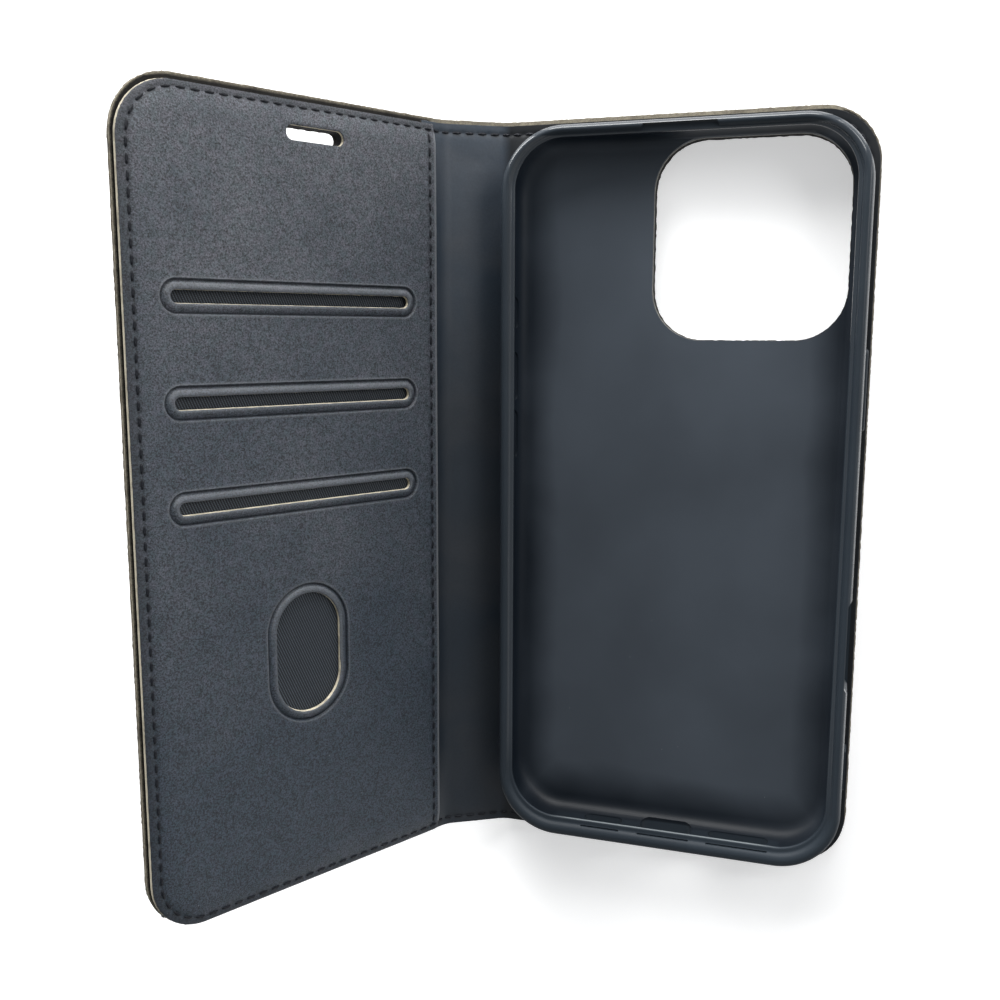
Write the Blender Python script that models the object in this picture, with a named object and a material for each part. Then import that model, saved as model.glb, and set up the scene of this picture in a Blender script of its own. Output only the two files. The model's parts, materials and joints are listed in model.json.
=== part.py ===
"""Book-style phone wallet case: a moulded phone tray on a leather back, a spine, and a front cover
with card pockets.

Frame: metres, +Z up out of the tray, +Y towards the top of the phone, +X away from the spine.
The origin is on the underside of the back cover, below the middle of the tray.
The case lies on its back with its front cover part way open. The leather and its lining run
across both folds on the real case: here each is one sheet per panel, with a gap on each fold line.
"""

import math

import bmesh
import bpy
from mathutils import Vector

# Driving dimensions, for a phone of 163.0 x 77.6 x 8.3 mm.
TRAY_WIDTH = 0.0815
TRAY_LENGTH = 0.169
TRAY_HEIGHT = 0.0109
TRAY_CORNER_RADIUS = 0.0145
SIDE_WALL = 0.0018
TOP_WALL = 0.0020
BOTTOM_WALL = 0.0034
FLOOR_THICKNESS = 0.0010

SHEET_LENGTH = 0.1756
SHEET_CORNER_RADIUS = 0.0129
BACK_MARGIN = 0.0013
SPINE_WIDTH = 0.016
COVER_WIDTH = 0.0809
FOLD_TO_TRAY = 0.00205
REST_FOLD = math.radians(30.5)

# Layers, from the outer face inwards.
LEATHER = 0.0009
BOARD = 0.0007
LINING = 0.0004
TWILL = 0.0002
PANEL = 0.0009
BOND = 0.0002
BOND_INSET = 0.0022
LAYER_GAP = 0.0002
TWILL_GAP = 0.00015
CONTACT_GAP = 0.0001
CLEARANCE = 0.0003
PASS = 0.0010  # how far a cutter runs past the faces it opens

BOARD_BASE = LEATHER + LAYER_GAP
LINING_BASE = BOARD_BASE + BOARD + LAYER_GAP
LINING_TOP = LINING_BASE + LINING
PANEL_BASE = LINING_BASE + 3 * TWILL + 2 * TWILL_GAP + LAYER_GAP
PANEL_TOP = PANEL_BASE + PANEL
TRAY_BASE = LINING_TOP + 0.0004
FOLD_HEIGHT = LINING_TOP / 2
FOLD_GAP = 0.0013  # from a fold line to the leather either side of it
BOARD_FOLD_GAP = 0.0023

# How far each layer stops inside the outer leather at the free edge, the top and the bottom.
# The inner layers sit a little low, so that more of the outer leather shows along the top.
FLUSH = (0.0, 0.0, 0.0)
BOARD_INSET = (0.0012, 0.0018, 0.0012)
LINING_INSET = (0.0002, 0.0011, 0.0004)
PANEL_INSET = (0.0002, 0.0017, 0.0006)
SEAM_INSET = (0.0021, 0.0031, 0.0022)

# Card pocket panel, measured from the fold (u) and up from the middle of the case (y).
PANEL_START = 0.0038
SLOT_CENTRE_U = 0.0421
SLOT_LENGTH = 0.0588
SLOT_HEIGHT = 0.0026
SLOT_Y = (0.0452, 0.0242, 0.0030)
POCKET_START = 0.0075
POCKET_END = 0.0782
POCKET_FLOOR_Y = -0.0832
POCKET_MOUTH_RISE = (0.0070, 0.0060, 0.0060)  # of each twill layer's top above its slot's middle
WINDOW_CENTRE = (0.0418, -0.0325)
WINDOW_SIZE = (0.0166, 0.0272)
EARPIECE_CENTRE = (0.0371, 0.0794)
EARPIECE_SIZE = (0.0143, 0.0030)

# Camera hole, through the tray and the back.
CAMERA_CENTRE = (0.01485, 0.0592)
CAMERA_SIZE = (0.0434, 0.0450)
CAMERA_RADIUS = 0.0115

# Sewing.
SEAM_END_GAP = 0.0003
THREAD_WIDTH = 0.0006
THREAD_HEIGHT = 0.0002
PANEL_SEAM_U = 0.0059

# Hidden closure: bar magnets in the cover's free edge, steel bars in the back's.
BAR_LENGTH = 0.024
BAR_WIDTH = 0.0036
BAR_EDGE_DISTANCE = 0.0056
BAR_Y = {"upper": 0.018, "lower": -0.048}

# Button covers: height above the tray's base, middle and length along Y.
BUTTON_Z = 0.0052
BUTTON_HEIGHT = 0.0042
BUTTON_PROUD = 0.0006
BUTTON_EDGE = 0.0003
POWER_BUTTON = (0.0262, 0.0177)
ACTION_BUTTON = (0.0430, 0.0070)
VOLUME_UP_BUTTON = (0.0280, 0.0110)
VOLUME_DOWN_BUTTON = (0.0140, 0.0110)
SIDE_CUTOUT = (-0.0306, 0.0190)
SIDE_PAD = (-0.0602, 0.0100)
SCOOP_DEPTH = 0.0007
SCOOP_RAMP = 0.0030
PAD_PROUD = 0.0005

# The tray's lip, which reaches over the edge of the phone: inset from the outline at the sides,
# the top and the bottom, and depth of its two faces below the tray's rim.
LIP_INSET = (0.0033, 0.0027, 0.0046)
LIP_TOP_DEPTH = 0.0010
LIP_UNDERSIDE_DEPTH = 0.0014
FLOOR_FILLET = 0.0006
RELIEF_WIDTHS = (0.0160, 0.0184)
RELIEF_DEPTH = 0.00095
RELIEF_START = 0.0008
RELIEF_LENGTH = 0.0032

# Openings of the bottom wall: middle and length along X, and height.
LIP_SLOT_WIDTH = 0.0007
PORT = (0.0004, 0.0124, 0.0060)
LEFT_GRILLE = (-0.0150, 0.0095, 0.0032)
RIGHT_GRILLE = (0.0178, 0.0142, 0.0032)

END_OPENINGS = (("port", PORT), ("left_grille", LEFT_GRILLE), ("right_grille", RIGHT_GRILLE))
BUTTONS = (  # name, side of the tray, (middle, length)
    ("power_button_cover", 1, POWER_BUTTON),
    ("action_button_cover", -1, ACTION_BUTTON),
    ("volume_up_button_cover", -1, VOLUME_UP_BUTTON),
    ("volume_down_button_cover", -1, VOLUME_DOWN_BUTTON),
)

CORNER_STEPS = 8
BACK_FOLD_X = -TRAY_WIDTH / 2 - FOLD_TO_TRAY
BACK_EDGE_X = TRAY_WIDTH / 2 + BACK_MARGIN


# ---------------------------------------------------------------- outlines


def arc(centre_x, centre_y, radius, start, steps):
    """Points of a quarter turn from the angle start, counter-clockwise."""
    points = []
    for i in range(steps + 1):
        angle = start + math.pi / 2 * i / steps
        points.append((centre_x + radius * math.cos(angle), centre_y + radius * math.sin(angle)))
    return points


def rounded_rectangle(x0, x1, y0, y1, radii, steps=CORNER_STEPS):
    """Counter-clockwise outline; radii are for the corners (x1, y1), (x0, y1), (x0, y0), (x1, y0)."""
    corners = ((x1, y1, -1, -1), (x0, y1, 1, -1), (x0, y0, 1, 1), (x1, y0, -1, 1))
    outline = []
    for i, (x, y, side_x, side_y) in enumerate(corners):
        radius = radii[i]
        if radius == 0:
            outline.append((x, y))
        else:
            outline += arc(x + side_x * radius, y + side_y * radius, radius, i * math.pi / 2, steps)
    return outline


def stadium(centre, size, steps=CORNER_STEPS):
    """A rectangle whose shorter sides are half circles."""
    half_x = size[0] / 2
    half_y = size[1] / 2
    radius = min(half_x, half_y) * 0.999
    return rounded_rectangle(
        centre[0] - half_x,
        centre[0] + half_x,
        centre[1] - half_y,
        centre[1] + half_y,
        (radius,) * 4,
        steps,
    )


# ---------------------------------------------------------------- objects


def new_material(name, colour, roughness, metallic=0.0):
    material = bpy.data.materials.new(name)
    material.use_nodes = True
    shader = material.node_tree.nodes["Principled BSDF"]
    shader.inputs["Base Color"].default_value = (*colour, 1.0)
    shader.inputs["Roughness"].default_value = roughness
    shader.inputs["Metallic"].default_value = metallic
    return material


def add_mesh(name, mesh_builder, parent=None):
    """A new object whose faces point outwards, placed in the frame of its parent."""
    mesh = bpy.data.meshes.new(name)
    shape = bmesh.new()
    mesh_builder(shape)
    bmesh.ops.recalc_face_normals(shape, faces=shape.faces)
    shape.to_mesh(mesh)
    shape.free()
    mesh.shade_smooth()
    mesh.set_sharp_from_angle(angle=math.radians(35))
    piece = bpy.data.objects.new(name, mesh)
    piece.parent = parent
    bpy.context.scene.collection.objects.link(piece)
    return piece


def loft(shape, rings):
    """Skins the rings, which all have the same number of points, and caps the first and the last."""
    loops = [[shape.verts.new(point) for point in ring] for ring in rings]
    for lower, upper in zip(loops, loops[1:]):
        for i in range(len(lower)):
            j = (i + 1) % len(lower)
            shape.faces.new((lower[i], lower[j], upper[j], upper[i]))
    shape.faces.new(loops[0][::-1])
    shape.faces.new(loops[-1])


def prism(name, outline, z0, z1, parent=None):
    def build(shape):
        loft(shape, [[(x, y, z) for x, y in outline] for z in (z0, z1)])

    return add_mesh(name, build, parent)


def box(name, low, high, parent=None):
    outline = [(high[0], high[1]), (low[0], high[1]), (low[0], low[1]), (high[0], low[1])]
    return prism(name, outline, low[2], high[2], parent)


def combine(piece, helper, operation):
    """A Boolean with a helper object, which is hidden."""
    helper.hide_render = True
    helper.display_type = "WIRE"
    modifier = piece.modifiers.new(helper.name, "BOOLEAN")
    modifier.operation = operation
    modifier.solver = "EXACT"
    modifier.object = helper


def cut(piece, helper):
    combine(piece, helper, "DIFFERENCE")


def piece_of(material, piece):
    piece.data.materials.append(material)
    return piece


def ribbon(name, path, z0, parent):
    """A thread laid along an open path, as a thin closed band THREAD_WIDTH wide."""
    left = []
    right = []
    for i, point in enumerate(path):
        before = Vector(path[max(i - 1, 0)])
        after = Vector(path[min(i + 1, len(path) - 1)])
        along = (after - before).normalized()
        side = Vector((-along.y, along.x)) * THREAD_WIDTH / 2
        left.append(tuple(Vector(point) + side))
        right.append(tuple(Vector(point) - side))
    return prism(name, left + right[::-1], z0, z0 + THREAD_HEIGHT, parent)


# ---------------------------------------------------------------- shared sheet outlines


def ends_of(inset):
    """The bottom and the top of a layer along Y, and the radius of its corners."""
    free, top, bottom = inset
    radius = SHEET_CORNER_RADIUS - max(free, (top + bottom) / 2)
    return -SHEET_LENGTH / 2 + bottom, SHEET_LENGTH / 2 - top, radius


def back_outline(inset=FLUSH, start=FOLD_GAP):
    """The back, from its fold to its free edge, whose two corners are round."""
    low, high, radius = ends_of(inset)
    corners = (radius, 0, 0, radius)
    return rounded_rectangle(BACK_FOLD_X + start, BACK_EDGE_X - inset[0], low, high, corners)


def cover_outline(inset=FLUSH, start=FOLD_GAP):
    """The cover, in the frame of its fold, where it lies towards -X."""
    low, high, radius = ends_of(inset)
    return rounded_rectangle(-COVER_WIDTH + inset[0], -start, low, high, (0, radius, radius, 0))


def camera_cutter():
    half_x = CAMERA_SIZE[0] / 2
    half_y = CAMERA_SIZE[1] / 2
    outline = rounded_rectangle(
        CAMERA_CENTRE[0] - half_x,
        CAMERA_CENTRE[0] + half_x,
        CAMERA_CENTRE[1] - half_y,
        CAMERA_CENTRE[1] + half_y,
        (CAMERA_RADIUS,) * 4,
    )
    return prism("cutter_camera", outline, -PASS, TRAY_BASE + FLOOR_THICKNESS + PASS)


def seam_around(free_x, fold_x, sign):
    """Path of the edge seam: along the bottom, round the free edge and back along the top."""
    low, high, radius = ends_of(SEAM_INSET)
    centre_x = abs(free_x) - SEAM_INSET[0] - radius
    lower = arc(centre_x, low + radius, radius, -math.pi / 2, CORNER_STEPS)
    upper = arc(centre_x, high - radius, radius, 0, CORNER_STEPS)
    path = [(sign * px, py) for px, py in lower + upper]
    return [(fold_x, low)] + path + [(fold_x, high)]


# ---------------------------------------------------------------- back cover


def build_back(leather, board, lining, steel, thread, bond):
    camera = camera_cutter()
    outer = piece_of(leather, prism("back_outer_leather", back_outline(), 0, LEATHER))
    stiffener = piece_of(
        board,
        prism(
            "back_stiffener_board",
            back_outline(BOARD_INSET, BOARD_FOLD_GAP),
            BOARD_BASE,
            BOARD_BASE + BOARD,
        ),
    )
    lining_outline = back_outline(LINING_INSET)
    inner = piece_of(lining, prism("back_lining", lining_outline, LINING_BASE, LINING_TOP))
    for sheet in (outer, stiffener, inner):
        cut(sheet, camera)

    bar_x = BACK_EDGE_X - BAR_EDGE_DISTANCE
    for side in BAR_Y:
        set_bar(steel, "back_keeper_bar_" + side, stiffener, (bar_x, BAR_Y[side]), BOARD_BASE, None)

    seam = seam_around(BACK_EDGE_X, BACK_FOLD_X + FOLD_GAP + SEAM_END_GAP, 1)
    piece_of(thread, ribbon("back_edge_stitching", seam, LINING_TOP + CONTACT_GAP, None))

    bond_x = TRAY_WIDTH / 2 - BOND_INSET
    bond_y = TRAY_LENGTH / 2 - BOND_INSET
    radius = TRAY_CORNER_RADIUS - BOND_INSET
    sheet_outline = rounded_rectangle(-bond_x, bond_x, -bond_y, bond_y, (radius,) * 4)
    base = LINING_TOP + CONTACT_GAP
    bond_sheet = piece_of(bond, prism("tray_bond_sheet", sheet_outline, base, base + BOND))
    cut(bond_sheet, camera)
    return camera


def set_bar(material, name, board, centre, base, parent):
    """A flat bar let into a hole of the board, with clearance all round."""

    def block(block_name, room, z0, z1):
        x, y = centre
        half_x = BAR_WIDTH / 2 + room
        half_y = BAR_LENGTH / 2 + room
        return box(block_name, (x - half_x, y - half_y, z0), (x + half_x, y + half_y, z1), parent)

    piece_of(material, block(name, 0, base, base + BOARD))
    cut(board, block("cutter_" + name, CLEARANCE, base - PASS, base + BOARD + PASS))


# ---------------------------------------------------------------- phone tray


def tray_ring(side, top, bottom, height):
    """A rounded rectangle inset from the tray's outline by its own amount at the sides and ends."""
    outline = rounded_rectangle(
        -TRAY_WIDTH / 2 + side,
        TRAY_WIDTH / 2 - side,
        -TRAY_LENGTH / 2 + bottom,
        TRAY_LENGTH / 2 - top,
        (TRAY_CORNER_RADIUS - side,) * 4,
    )
    return [(x, y, TRAY_BASE + height) for x, y in outline]


def build_tray_shape(shape):
    """Outer wall, rounded ridge, thin lip over the phone's edge, inner wall and floor."""
    rim = TRAY_HEIGHT
    lip_top = rim - LIP_TOP_DEPTH
    lip_underside = rim - LIP_UNDERSIDE_DEPTH
    wall = (SIDE_WALL, TOP_WALL, BOTTOM_WALL)
    floor = [width + FLOOR_FILLET for width in wall]
    rings = [
        tray_ring(0.0013, 0.0013, 0.0013, 0),
        tray_ring(0.0004, 0.0004, 0.0004, 0.0005),
        tray_ring(0, 0, 0, 0.0016),
        tray_ring(0, 0, 0, rim - 0.0012),
        tray_ring(0.0003, 0.0003, 0.0003, rim - 0.0004),
        tray_ring(0.0010, 0.0010, 0.0010, rim),
        tray_ring(0.0017, 0.0015, 0.0022, rim - 0.0002),
        tray_ring(0.0021, 0.0018, 0.0028, lip_top + 0.0002),
        tray_ring(*LIP_INSET, lip_top),
        tray_ring(*LIP_INSET, lip_underside),
        tray_ring(*wall, lip_underside - 0.0001),
        tray_ring(*wall, FLOOR_THICKNESS + FLOOR_FILLET),
        tray_ring(*floor, FLOOR_THICKNESS),
    ]
    loft(shape, rings)


def wall_opening(name, side, middle, length, height, centre_z):
    """A rounded opening through a side wall, which side is -1 (spine side) or 1 (free side)."""
    half_y = length / 2
    half_z = height / 2
    radius = min(half_y, half_z) * 0.6
    outline = rounded_rectangle(
        middle - half_y, middle + half_y, centre_z - half_z, centre_z + half_z, (radius,) * 4, 4
    )
    wall = side * TRAY_WIDTH / 2
    ends = (wall - side * (SIDE_WALL + PASS), wall + side * PASS)

    def build(shape):
        loft(shape, [[(x, y, z) for y, z in outline] for x in ends])

    return add_mesh(name, build)


def end_opening(name, middle, length, height):
    """A rounded opening through the bottom wall."""
    half_x = length / 2
    centre_z = TRAY_BASE + BUTTON_Z
    half_z = height / 2
    radius = min(half_z * 0.95, 0.0020)
    outline = rounded_rectangle(
        middle - half_x, middle + half_x, centre_z - half_z, centre_z + half_z, (radius,) * 4, 4
    )
    wall = -TRAY_LENGTH / 2
    ends = (wall - PASS, wall + BOTTOM_WALL + PASS)

    def build(shape):
        loft(shape, [[(x, y, z) for x, z in outline] for y in ends])

    return add_mesh(name, build)


def cut_ends(tray):
    """Port and grilles, each with a slot in the lip above it, and the relief over the earpiece."""
    rim = TRAY_BASE + TRAY_HEIGHT
    slot_y = -TRAY_LENGTH / 2 + BOTTOM_WALL + CONTACT_GAP
    for name, (middle, length, height) in END_OPENINGS:
        cut(tray, end_opening("cutter_" + name, middle, length, height))
        low = (middle - length / 2, slot_y, rim - LIP_UNDERSIDE_DEPTH - CLEARANCE)
        high = (middle + length / 2, slot_y + LIP_SLOT_WIDTH, rim + PASS)
        cut(tray, box("cutter_lip_" + name, low, high))

    start = TRAY_LENGTH / 2 - RELIEF_START
    end = start - RELIEF_LENGTH
    narrow, wide = (width / 2 for width in RELIEF_WIDTHS)
    relief = [(narrow, start), (-narrow, start), (-wide, end), (wide, end)]
    cut(tray, prism("cutter_top_relief", relief, rim - RELIEF_DEPTH, rim + PASS))


def shape_free_side(tray):
    """An open cutout with a shallow scoop above it, and a raised pad below."""
    edge = TRAY_WIDTH / 2
    middle_z = TRAY_BASE + BUTTON_Z
    middle, length = SIDE_CUTOUT
    cutter = wall_opening("cutter_side", 1, middle, length - 0.002, BUTTON_HEIGHT, middle_z)
    cut(tray, cutter)
    half = length / 2
    scoop = [
        (edge + PASS, middle + half + SCOOP_RAMP),
        (edge - SCOOP_DEPTH, middle + half),
        (edge - SCOOP_DEPTH, middle - half),
        (edge + PASS, middle - half - SCOOP_RAMP),
    ]
    cut(tray, prism("cutter_scoop", scoop, TRAY_BASE + 0.0018, TRAY_BASE + TRAY_HEIGHT + PASS))

    middle, length = SIDE_PAD
    low = (edge - SIDE_WALL / 2, middle - length / 2, middle_z - BUTTON_HEIGHT / 2)
    high = (edge + PAD_PROUD, middle + length / 2, middle_z + BUTTON_HEIGHT / 2)
    combine(tray, box("helper_side_pad", low, high), "UNION")


def build_tray(plastic, camera):
    tray = piece_of(plastic, add_mesh("phone_tray", build_tray_shape))
    cut(tray, camera)
    cut_ends(tray)
    shape_free_side(tray)
    for name, side, (middle, length) in BUTTONS:
        height = BUTTON_HEIGHT + 2 * CLEARANCE
        length += 2 * CLEARANCE
        cut(tray, wall_opening("cutter_" + name, side, middle, length, height, TRAY_BASE + BUTTON_Z))


def build_button(plastic, name, side, middle, length):
    """A pad in the side wall that stands a little proud of it. Its origin is at its middle."""
    outline = rounded_rectangle(
        -length / 2,
        length / 2,
        -BUTTON_HEIGHT / 2,
        BUTTON_HEIGHT / 2,
        (BUTTON_HEIGHT * 0.3,) * 4,
        4,
    )
    ends = ((-SIDE_WALL, 1.0), (BUTTON_PROUD - BUTTON_EDGE, 1.0), (BUTTON_PROUD, 0.86))

    def build(shape):
        loft(shape, [[(side * x, y * scale, z * scale) for y, z in outline] for x, scale in ends])

    button = piece_of(plastic, add_mesh(name, build))
    button.location = (side * TRAY_WIDTH / 2, middle, TRAY_BASE + BUTTON_Z)


# ---------------------------------------------------------------- spine


def build_spine(leather, lining, thread, fold):
    """The spine's frame has its origin on the back's fold, and the spine lies towards -X."""
    start = -SPINE_WIDTH + FOLD_GAP
    end = -FOLD_GAP
    down = -FOLD_HEIGHT
    bottom, top, _ = ends_of(FLUSH)
    low = (start, bottom, down)
    high = (end, top, down + LEATHER)
    piece_of(leather, box("spine_outer_leather", low, high, fold))
    bottom, top, _ = ends_of(LINING_INSET)
    low = (start, bottom, down + LINING_BASE)
    high = (end, top, down + LINING_TOP)
    piece_of(lining, box("spine_lining", low, high, fold))
    bottom, top, _ = ends_of(SEAM_INSET)
    for side, y in (("top", top), ("bottom", bottom)):
        path = [(start + SEAM_END_GAP, y), (end - SEAM_END_GAP, y)]
        height = down + LINING_TOP + CONTACT_GAP
        piece_of(thread, ribbon("spine_" + side + "_stitching", path, height, fold))


# ---------------------------------------------------------------- front cover


def build_cover(leather, board, lining, twill, magnet, thread, fold):
    """The cover's frame has its origin on its fold, and the cover lies towards -X."""
    down = -FOLD_HEIGHT
    earpiece = prism(
        "cutter_earpiece",
        stadium((-EARPIECE_CENTRE[0], EARPIECE_CENTRE[1]), EARPIECE_SIZE),
        down - PASS,
        down + PANEL_TOP + PASS,
        fold,
    )
    outer = piece_of(
        leather, prism("cover_outer_leather", cover_outline(), down, down + LEATHER, fold)
    )
    cut(outer, earpiece)

    stiffener = piece_of(
        board,
        prism(
            "cover_stiffener_board",
            cover_outline(BOARD_INSET, BOARD_FOLD_GAP),
            down + BOARD_BASE,
            down + BOARD_BASE + BOARD,
            fold,
        ),
    )
    cut(stiffener, earpiece)
    bar_x = -COVER_WIDTH + BAR_EDGE_DISTANCE
    for side in BAR_Y:
        base = down + BOARD_BASE
        set_bar(magnet, "cover_magnet_" + side, stiffener, (bar_x, BAR_Y[side]), base, fold)

    bottom, top, _ = ends_of(LINING_INSET)
    low = (-POCKET_START + CLEARANCE, bottom, down + LINING_BASE)
    high = (-FOLD_GAP, top, down + LINING_TOP)
    piece_of(lining, box("hinge_lining_tab", low, high, fold))

    layers = ("pocket_backing_twill", "pocket_divider_middle", "pocket_divider_lower")
    for i, name in enumerate(layers):
        base = down + LINING_BASE + i * (TWILL + TWILL_GAP)
        low = (-POCKET_END, POCKET_FLOOR_Y, base)
        high = (-POCKET_START, SLOT_Y[i] + POCKET_MOUTH_RISE[i], base + TWILL)
        piece_of(twill, box(name, low, high, fold))

    panel = piece_of(
        leather,
        prism(
            "card_pocket_panel",
            cover_outline(PANEL_INSET, PANEL_START),
            down + PANEL_BASE,
            down + PANEL_TOP,
            fold,
        ),
    )
    cut(panel, earpiece)
    low = down + PANEL_BASE - PASS
    high = down + PANEL_TOP + PASS
    for i, slot_y in enumerate(SLOT_Y):
        outline = stadium((-SLOT_CENTRE_U, slot_y), (SLOT_LENGTH, SLOT_HEIGHT))
        cut(panel, prism(f"cutter_slot_{i + 1}", outline, low, high, fold))
    outline = stadium((-WINDOW_CENTRE[0], WINDOW_CENTRE[1]), WINDOW_SIZE)
    cut(panel, prism("cutter_window", outline, low, high, fold))

    height = down + PANEL_TOP + CONTACT_GAP
    seam = seam_around(-COVER_WIDTH, -PANEL_START - SEAM_END_GAP, -1)
    piece_of(thread, ribbon("cover_edge_stitching", seam, height, fold))
    bottom, top, _ = ends_of(SEAM_INSET)
    column = [(-PANEL_SEAM_U, bottom + THREAD_WIDTH), (-PANEL_SEAM_U, top - THREAD_WIDTH)]
    piece_of(thread, ribbon("pocket_seam_stitching", column, height, fold))


# ---------------------------------------------------------------- assembly


def add_fold(name, location, parent):
    """An empty on a fold line. Its turn about Y lifts what hangs on it."""
    fold = bpy.data.objects.new(name, None)
    fold.empty_display_size = 0.01
    fold.parent = parent
    fold.location = location
    fold.rotation_euler = (0, REST_FOLD, 0)
    bpy.context.scene.collection.objects.link(fold)
    return fold


def clear_scene():
    for piece in list(bpy.data.objects):
        bpy.data.objects.remove(piece, do_unlink=True)


def main():
    clear_scene()
    leather = new_material("slate_leather", (0.075, 0.085, 0.095), 0.55)
    board = new_material("stiffener_board", (0.02, 0.02, 0.022), 0.8)
    lining = new_material("smooth_lining", (0.035, 0.045, 0.055), 0.5)
    twill = new_material("black_twill", (0.012, 0.014, 0.018), 0.85)
    plastic = new_material("tray_plastic", (0.03, 0.042, 0.055), 0.45)
    thread = new_material("dark_thread", (0.02, 0.022, 0.028), 0.6)
    bond = new_material("bond_sheet", (0.5, 0.48, 0.42), 0.7)
    steel = new_material("keeper_steel", (0.55, 0.55, 0.56), 0.35, 1.0)
    magnet = new_material("magnet_nickel", (0.6, 0.6, 0.6), 0.3, 1.0)

    camera = build_back(leather, board, lining, steel, thread, bond)
    build_tray(plastic, camera)
    for name, side, (middle, length) in BUTTONS:
        build_button(plastic, name, side, middle, length)

    back_fold = add_fold("back_fold", (BACK_FOLD_X, 0, FOLD_HEIGHT), None)
    build_spine(leather, lining, thread, back_fold)
    cover_fold = add_fold("cover_fold", (-SPINE_WIDTH, 0, 0), back_fold)
    build_cover(leather, board, lining, twill, magnet, thread, cover_fold)


main()
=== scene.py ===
"""Looks of the phone wallet case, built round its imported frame.

Units are metres. A sheet of leather or cloth is described by (s, y, h):
  s  distance along the opened-out sheet from the back fold, towards the front cover;
     it is negative on the back cover, runs 0 to SPINE on the spine and goes on over the cover;
  y  as in the frame, towards the top of the phone;
  h  height from the outer face of the case towards its inside.
place() turns those into the frame's x, y, z, with a soft bend at each fold.
"""

import json
import math
import random

import bmesh
import bpy
import numpy as np
from mathutils import Matrix, Vector, kdtree, noise
from mathutils.geometry import delaunay_2d_cdt


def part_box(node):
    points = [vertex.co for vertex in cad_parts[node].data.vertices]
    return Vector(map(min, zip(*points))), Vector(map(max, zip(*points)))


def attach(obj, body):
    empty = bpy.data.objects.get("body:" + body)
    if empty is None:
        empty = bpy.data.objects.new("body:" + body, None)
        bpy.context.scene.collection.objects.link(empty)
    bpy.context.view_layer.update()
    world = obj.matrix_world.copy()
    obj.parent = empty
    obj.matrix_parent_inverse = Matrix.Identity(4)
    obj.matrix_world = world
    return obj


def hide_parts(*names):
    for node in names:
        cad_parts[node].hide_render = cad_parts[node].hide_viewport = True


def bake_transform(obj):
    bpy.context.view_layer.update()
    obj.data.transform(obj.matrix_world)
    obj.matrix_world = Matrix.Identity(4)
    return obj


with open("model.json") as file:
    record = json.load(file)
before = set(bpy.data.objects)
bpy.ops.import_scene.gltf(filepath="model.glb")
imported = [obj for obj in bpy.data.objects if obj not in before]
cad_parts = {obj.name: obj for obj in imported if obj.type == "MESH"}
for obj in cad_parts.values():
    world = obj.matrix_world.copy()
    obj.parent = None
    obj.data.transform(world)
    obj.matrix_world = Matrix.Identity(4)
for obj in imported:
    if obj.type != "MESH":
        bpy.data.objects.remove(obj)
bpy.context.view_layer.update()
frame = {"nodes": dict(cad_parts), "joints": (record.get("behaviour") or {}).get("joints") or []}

MM = 0.001
NODES = frame["nodes"]
JOINTS = {joint["name"]: joint for joint in frame["joints"]}


def mm(*values):
    """Lengths in millimetres as an array of metres."""
    return np.array(values) * MM


# ---- frame of the sheets

BACK_FOLD = np.array(JOINTS["spine_fold"]["pos_m"])
COVER_FOLD = np.array(JOINTS["cover_fold"]["pos_m"])
SPINE = float(np.hypot(*(COVER_FOLD - BACK_FOLD)[[0, 2]]))
FOLD_HEIGHT = float(BACK_FOLD[2])
FOLD_ANGLE = math.atan2(COVER_FOLD[2] - BACK_FOLD[2], BACK_FOLD[0] - COVER_FOLD[0])
BEND = 2.2 * MM  # half the length of a bend, along the sheet
MIDDLE = SPINE / 2  # the sheets that cross both folds are split here
SIDES = ("cover", "back")


def along(angle):
    """Direction of growing s on a panel raised by angle, as (x, z)."""
    return np.array([-math.cos(angle), math.sin(angle)])


def inward(angle):
    """Direction of growing h on a panel raised by angle, as (x, z)."""
    return np.array([math.sin(angle), math.cos(angle)])


def place(s, y, h):
    """Points of the frame for arrays of sheet coordinates."""
    s, y, h = np.broadcast_arrays(*(np.asarray(a, float) for a in (s, y, h)))
    rise = (h - FOLD_HEIGHT)[:, None]
    radius = BEND / math.tan(FOLD_ANGLE / 2)
    spots = BACK_FOLD[[0, 2]] + s[:, None] * along(0) + rise * inward(0)
    for angle, s0, fold in ((0.0, 0.0, BACK_FOLD), (FOLD_ANGLE, SPINE, COVER_FOLD)):
        run = (s - s0)[:, None]
        turn = angle + FOLD_ANGLE * (run + BEND) / (2 * BEND)
        centre = fold[[0, 2]] - BEND * along(angle) + radius * inward(angle)
        bent = centre - (radius - rise) * np.hstack([np.sin(turn), np.cos(turn)])
        angle += FOLD_ANGLE
        beyond = fold[[0, 2]] + run * along(angle) + rise * inward(angle)
        spots = np.where(run <= -BEND, spots, np.where(run < BEND, bent, beyond))
    return np.stack([spots[:, 0], y, spots[:, 1]], 1)


def node_points(name):
    mesh = NODES[name].data
    points = np.empty(len(mesh.vertices) * 3, np.float32)
    mesh.vertices.foreach_get("co", points)
    return points.reshape(-1, 3).astype(float)


def to_sheet(points, panel):
    """Sheet coordinates of frame points that lie on a panel: "back", "spine" or "cover"."""
    s0, corner, turns = {
        "back": (0.0, BACK_FOLD, 0),
        "spine": (0.0, BACK_FOLD, 1),
        "cover": (SPINE, COVER_FOLD, 2),
    }[panel]
    flat = points[:, [0, 2]] - corner[[0, 2]]
    angle = turns * FOLD_ANGLE
    s = s0 + flat @ along(angle)
    return np.stack([s, points[:, 1], FOLD_HEIGHT + flat @ inward(angle)], 1)


def sheet_box(name, panel):
    points = to_sheet(node_points(name), panel)
    return points.min(0), points.max(0)


def levels(name, panel):
    """Lowest and highest h of a CAD sheet."""
    low, high = sheet_box(name, panel)
    return low[2], high[2]


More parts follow.
